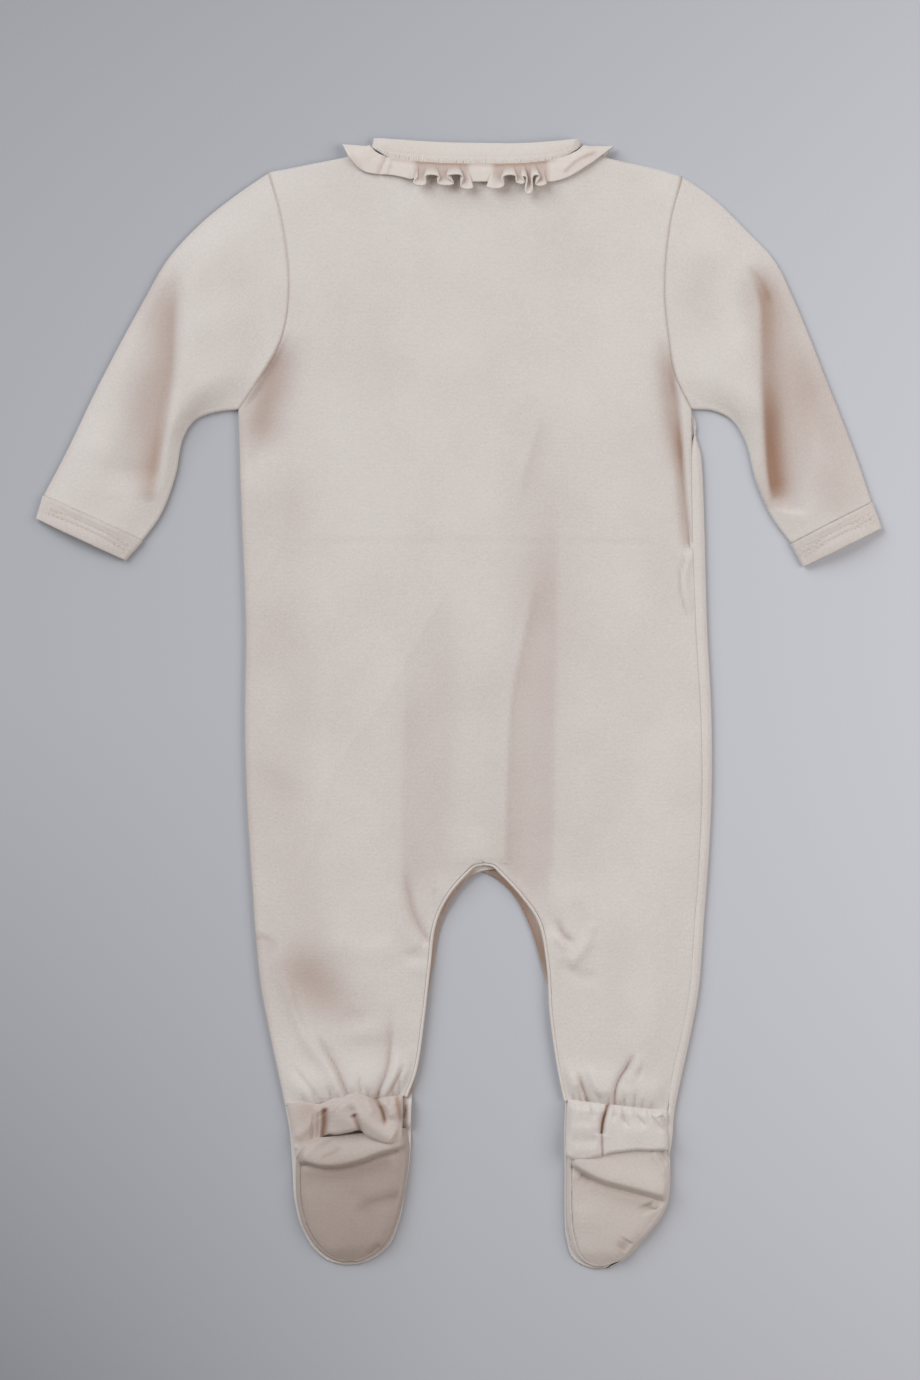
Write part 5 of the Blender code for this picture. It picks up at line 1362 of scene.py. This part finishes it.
LIGHT_TONE = (0.722, 0.703, 0.684)
DEEP_TONE = (0.655, 0.617, 0.597)
MATERIALS = {
    "interlock": knit("interlock_knit", LIGHT_TONE, DEEP_TONE),
    "sole": knit("interlock_sole", LIGHT_TONE, DEEP_TONE, shade_tints=SOLE_SHADE_TINTS),
    "sleeve_left": knit("interlock_left_sleeve", LIGHT_TONE, DEEP_TONE, turn=0.45),
    "sleeve_right": knit("interlock_right_sleeve", LIGHT_TONE, DEEP_TONE, turn=-0.45),
    "binding": knit("binding_rib", (0.735, 0.70, 0.67), (0.69, 0.645, 0.615), pitch=1.1),
    "frill": knit("frill_jersey", (0.755, 0.715, 0.68), (0.71, 0.66, 0.625), pitch=0.6),
    "thread": knit("cotton_thread", (0.84, 0.77, 0.72), (0.76, 0.68, 0.63), pitch=0.4),
    "stud_cap": smooth_metal("stud_enamel", (0.78, 0.71, 0.67), 0.0),
    "stud_socket": smooth_metal("stud_metal", (0.72, 0.72, 0.72), 1.0),
}


def place(thing, nodes, slot):
    """Fasten a piece to the body, in the place of its CAD nodes."""
    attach(thing, "root")
    if nodes:
        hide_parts(*nodes)


def build():
    """All pieces of the suit."""
    back = add_back()
    place(back, ["back_panel"], "interlock")
    inseam = add_inseam_binding()
    place(inseam, ["inseam_binding"], "binding")
    for side in SIDES:
        front = add_front(side)
        place(front, ["front_" + side], "interlock")
        sleeve = add_sleeve(side)
        place(sleeve, ["sleeve_" + side], "interlock")
        cuff = add_cuff(side)
        stitches = cuff_stitches(side)
        place(cuff, ["cuff_" + side], "interlock")
        place(stitches, [], "interlock")
        heel = add_heel(side)
        place(heel, ["heel_" + side], "interlock")
        sole = add_sole(side)
        place(sole, ["sole_" + side], "interlock")
    binding = add_binding()
    place(binding, ["neck_binding"], "binding")
    frill = add_frill()
    place(frill, ["neck_frill"], "frill")
    for name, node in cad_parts.items():
        for kind in ("stud_cap", "stud_socket"):
            if name.startswith(kind):
                node.data.materials.clear()
                node.data.materials.append(MATERIALS[kind])


build()


# ---- floor, light and camera -------------------------------------------------------------------
VIEW_CENTRE = (0.0005, 0.0068)
VIEW_HEIGHT = 0.7176     # length of floor in the height of the picture
LENS = 85.0
SENSOR = 36.0
FLOOR_GAP = 0.0004       # keeps the floor clear of the faces that lie on it
# Square soft lights: name, place, size, energy, colour.
LIGHTS = (
    ("key", (-1.9, 1.6, 2.0), 2.4, 71.0, (0.93, 0.975, 1.0)),
    ("fill", (1.3, 0.1, 1.2), 1.2, 13.0, (1.0, 0.97, 0.95)),
)
SKY = (1.0, 0.85, 0.76, 1.0)
SKY_STRENGTH = 0.30


def add_floor():
    """Plain pale floor, painted darker away from the light: lighter to the right, darker towards the top,
    the bottom and the lower left.
    """
    n = Nodes("pale_floor")
    axes = n.add("ShaderNodeSeparateXYZ", {"Vector": n.place()}).outputs
    across = n.times(axes[0], 0.55)
    down = n.times(axes[1], n.plus(n.times(axes[1], -1.1), -0.05))
    left = n.math("MAXIMUM", n.times(axes[0], -1.0), 0.0)
    near = n.math("MAXIMUM", n.times(axes[1], -1.0), 0.0)
    corner = n.times(n.times(left, near), -2.2)
    share = n.plus(n.plus(across, down), n.plus(corner, 0.52))
    tone = n.ramp(share, ((0.0, (0.24, 0.26, 0.29)), (1.0, (0.80, 0.84, 0.92))))
    mesh = bpy.data.meshes.new("floor")
    half = 6.0
    corners = [(-half, -half, 0), (half, -half, 0), (half, half, 0), (-half, half, 0)]
    mesh.from_pydata(corners, [], [(0, 1, 2, 3)])
    mesh.materials.append(n.finish({"Base Color": tone, "Roughness": 0.95}))
    floor = add_to_scene("floor", mesh)
    floor.location = (0.0, 0.0, -FLOOR_GAP)


def add_area_light(name, where, size, energy, colour):
    """Square soft light at `where`, turned to the middle of the suit."""
    data = bpy.data.lights.new(name, "AREA")
    data.shape = "SQUARE"
    data.size = size
    data.energy = energy
    data.color = colour
    lamp = add_to_scene(name, data)
    lamp.location = where
    aim = -lamp.location.normalized()
    lamp.rotation_euler = aim.to_track_quat("-Z", "Y").to_euler()


def add_stage():
    """Floor, soft daylight from the upper left, and the camera straight above."""
    add_floor()
    for light in LIGHTS:
        add_area_light(*light)
    world = bpy.data.worlds.new("soft_sky")
    world.use_nodes = True
    sky = world.node_tree.nodes["Background"].inputs
    sky["Color"].default_value = SKY
    sky["Strength"].default_value = SKY_STRENGTH
    bpy.context.scene.world = world
    bpy.context.scene.view_settings.view_transform = "Standard"
    data = bpy.data.cameras.new("camera")
    data.lens = LENS
    data.sensor_width = SENSOR
    camera = add_to_scene("camera", data)
    camera.location = (*VIEW_CENTRE, VIEW_HEIGHT * LENS / SENSOR)
    bpy.context.scene.camera = camera


add_stage()
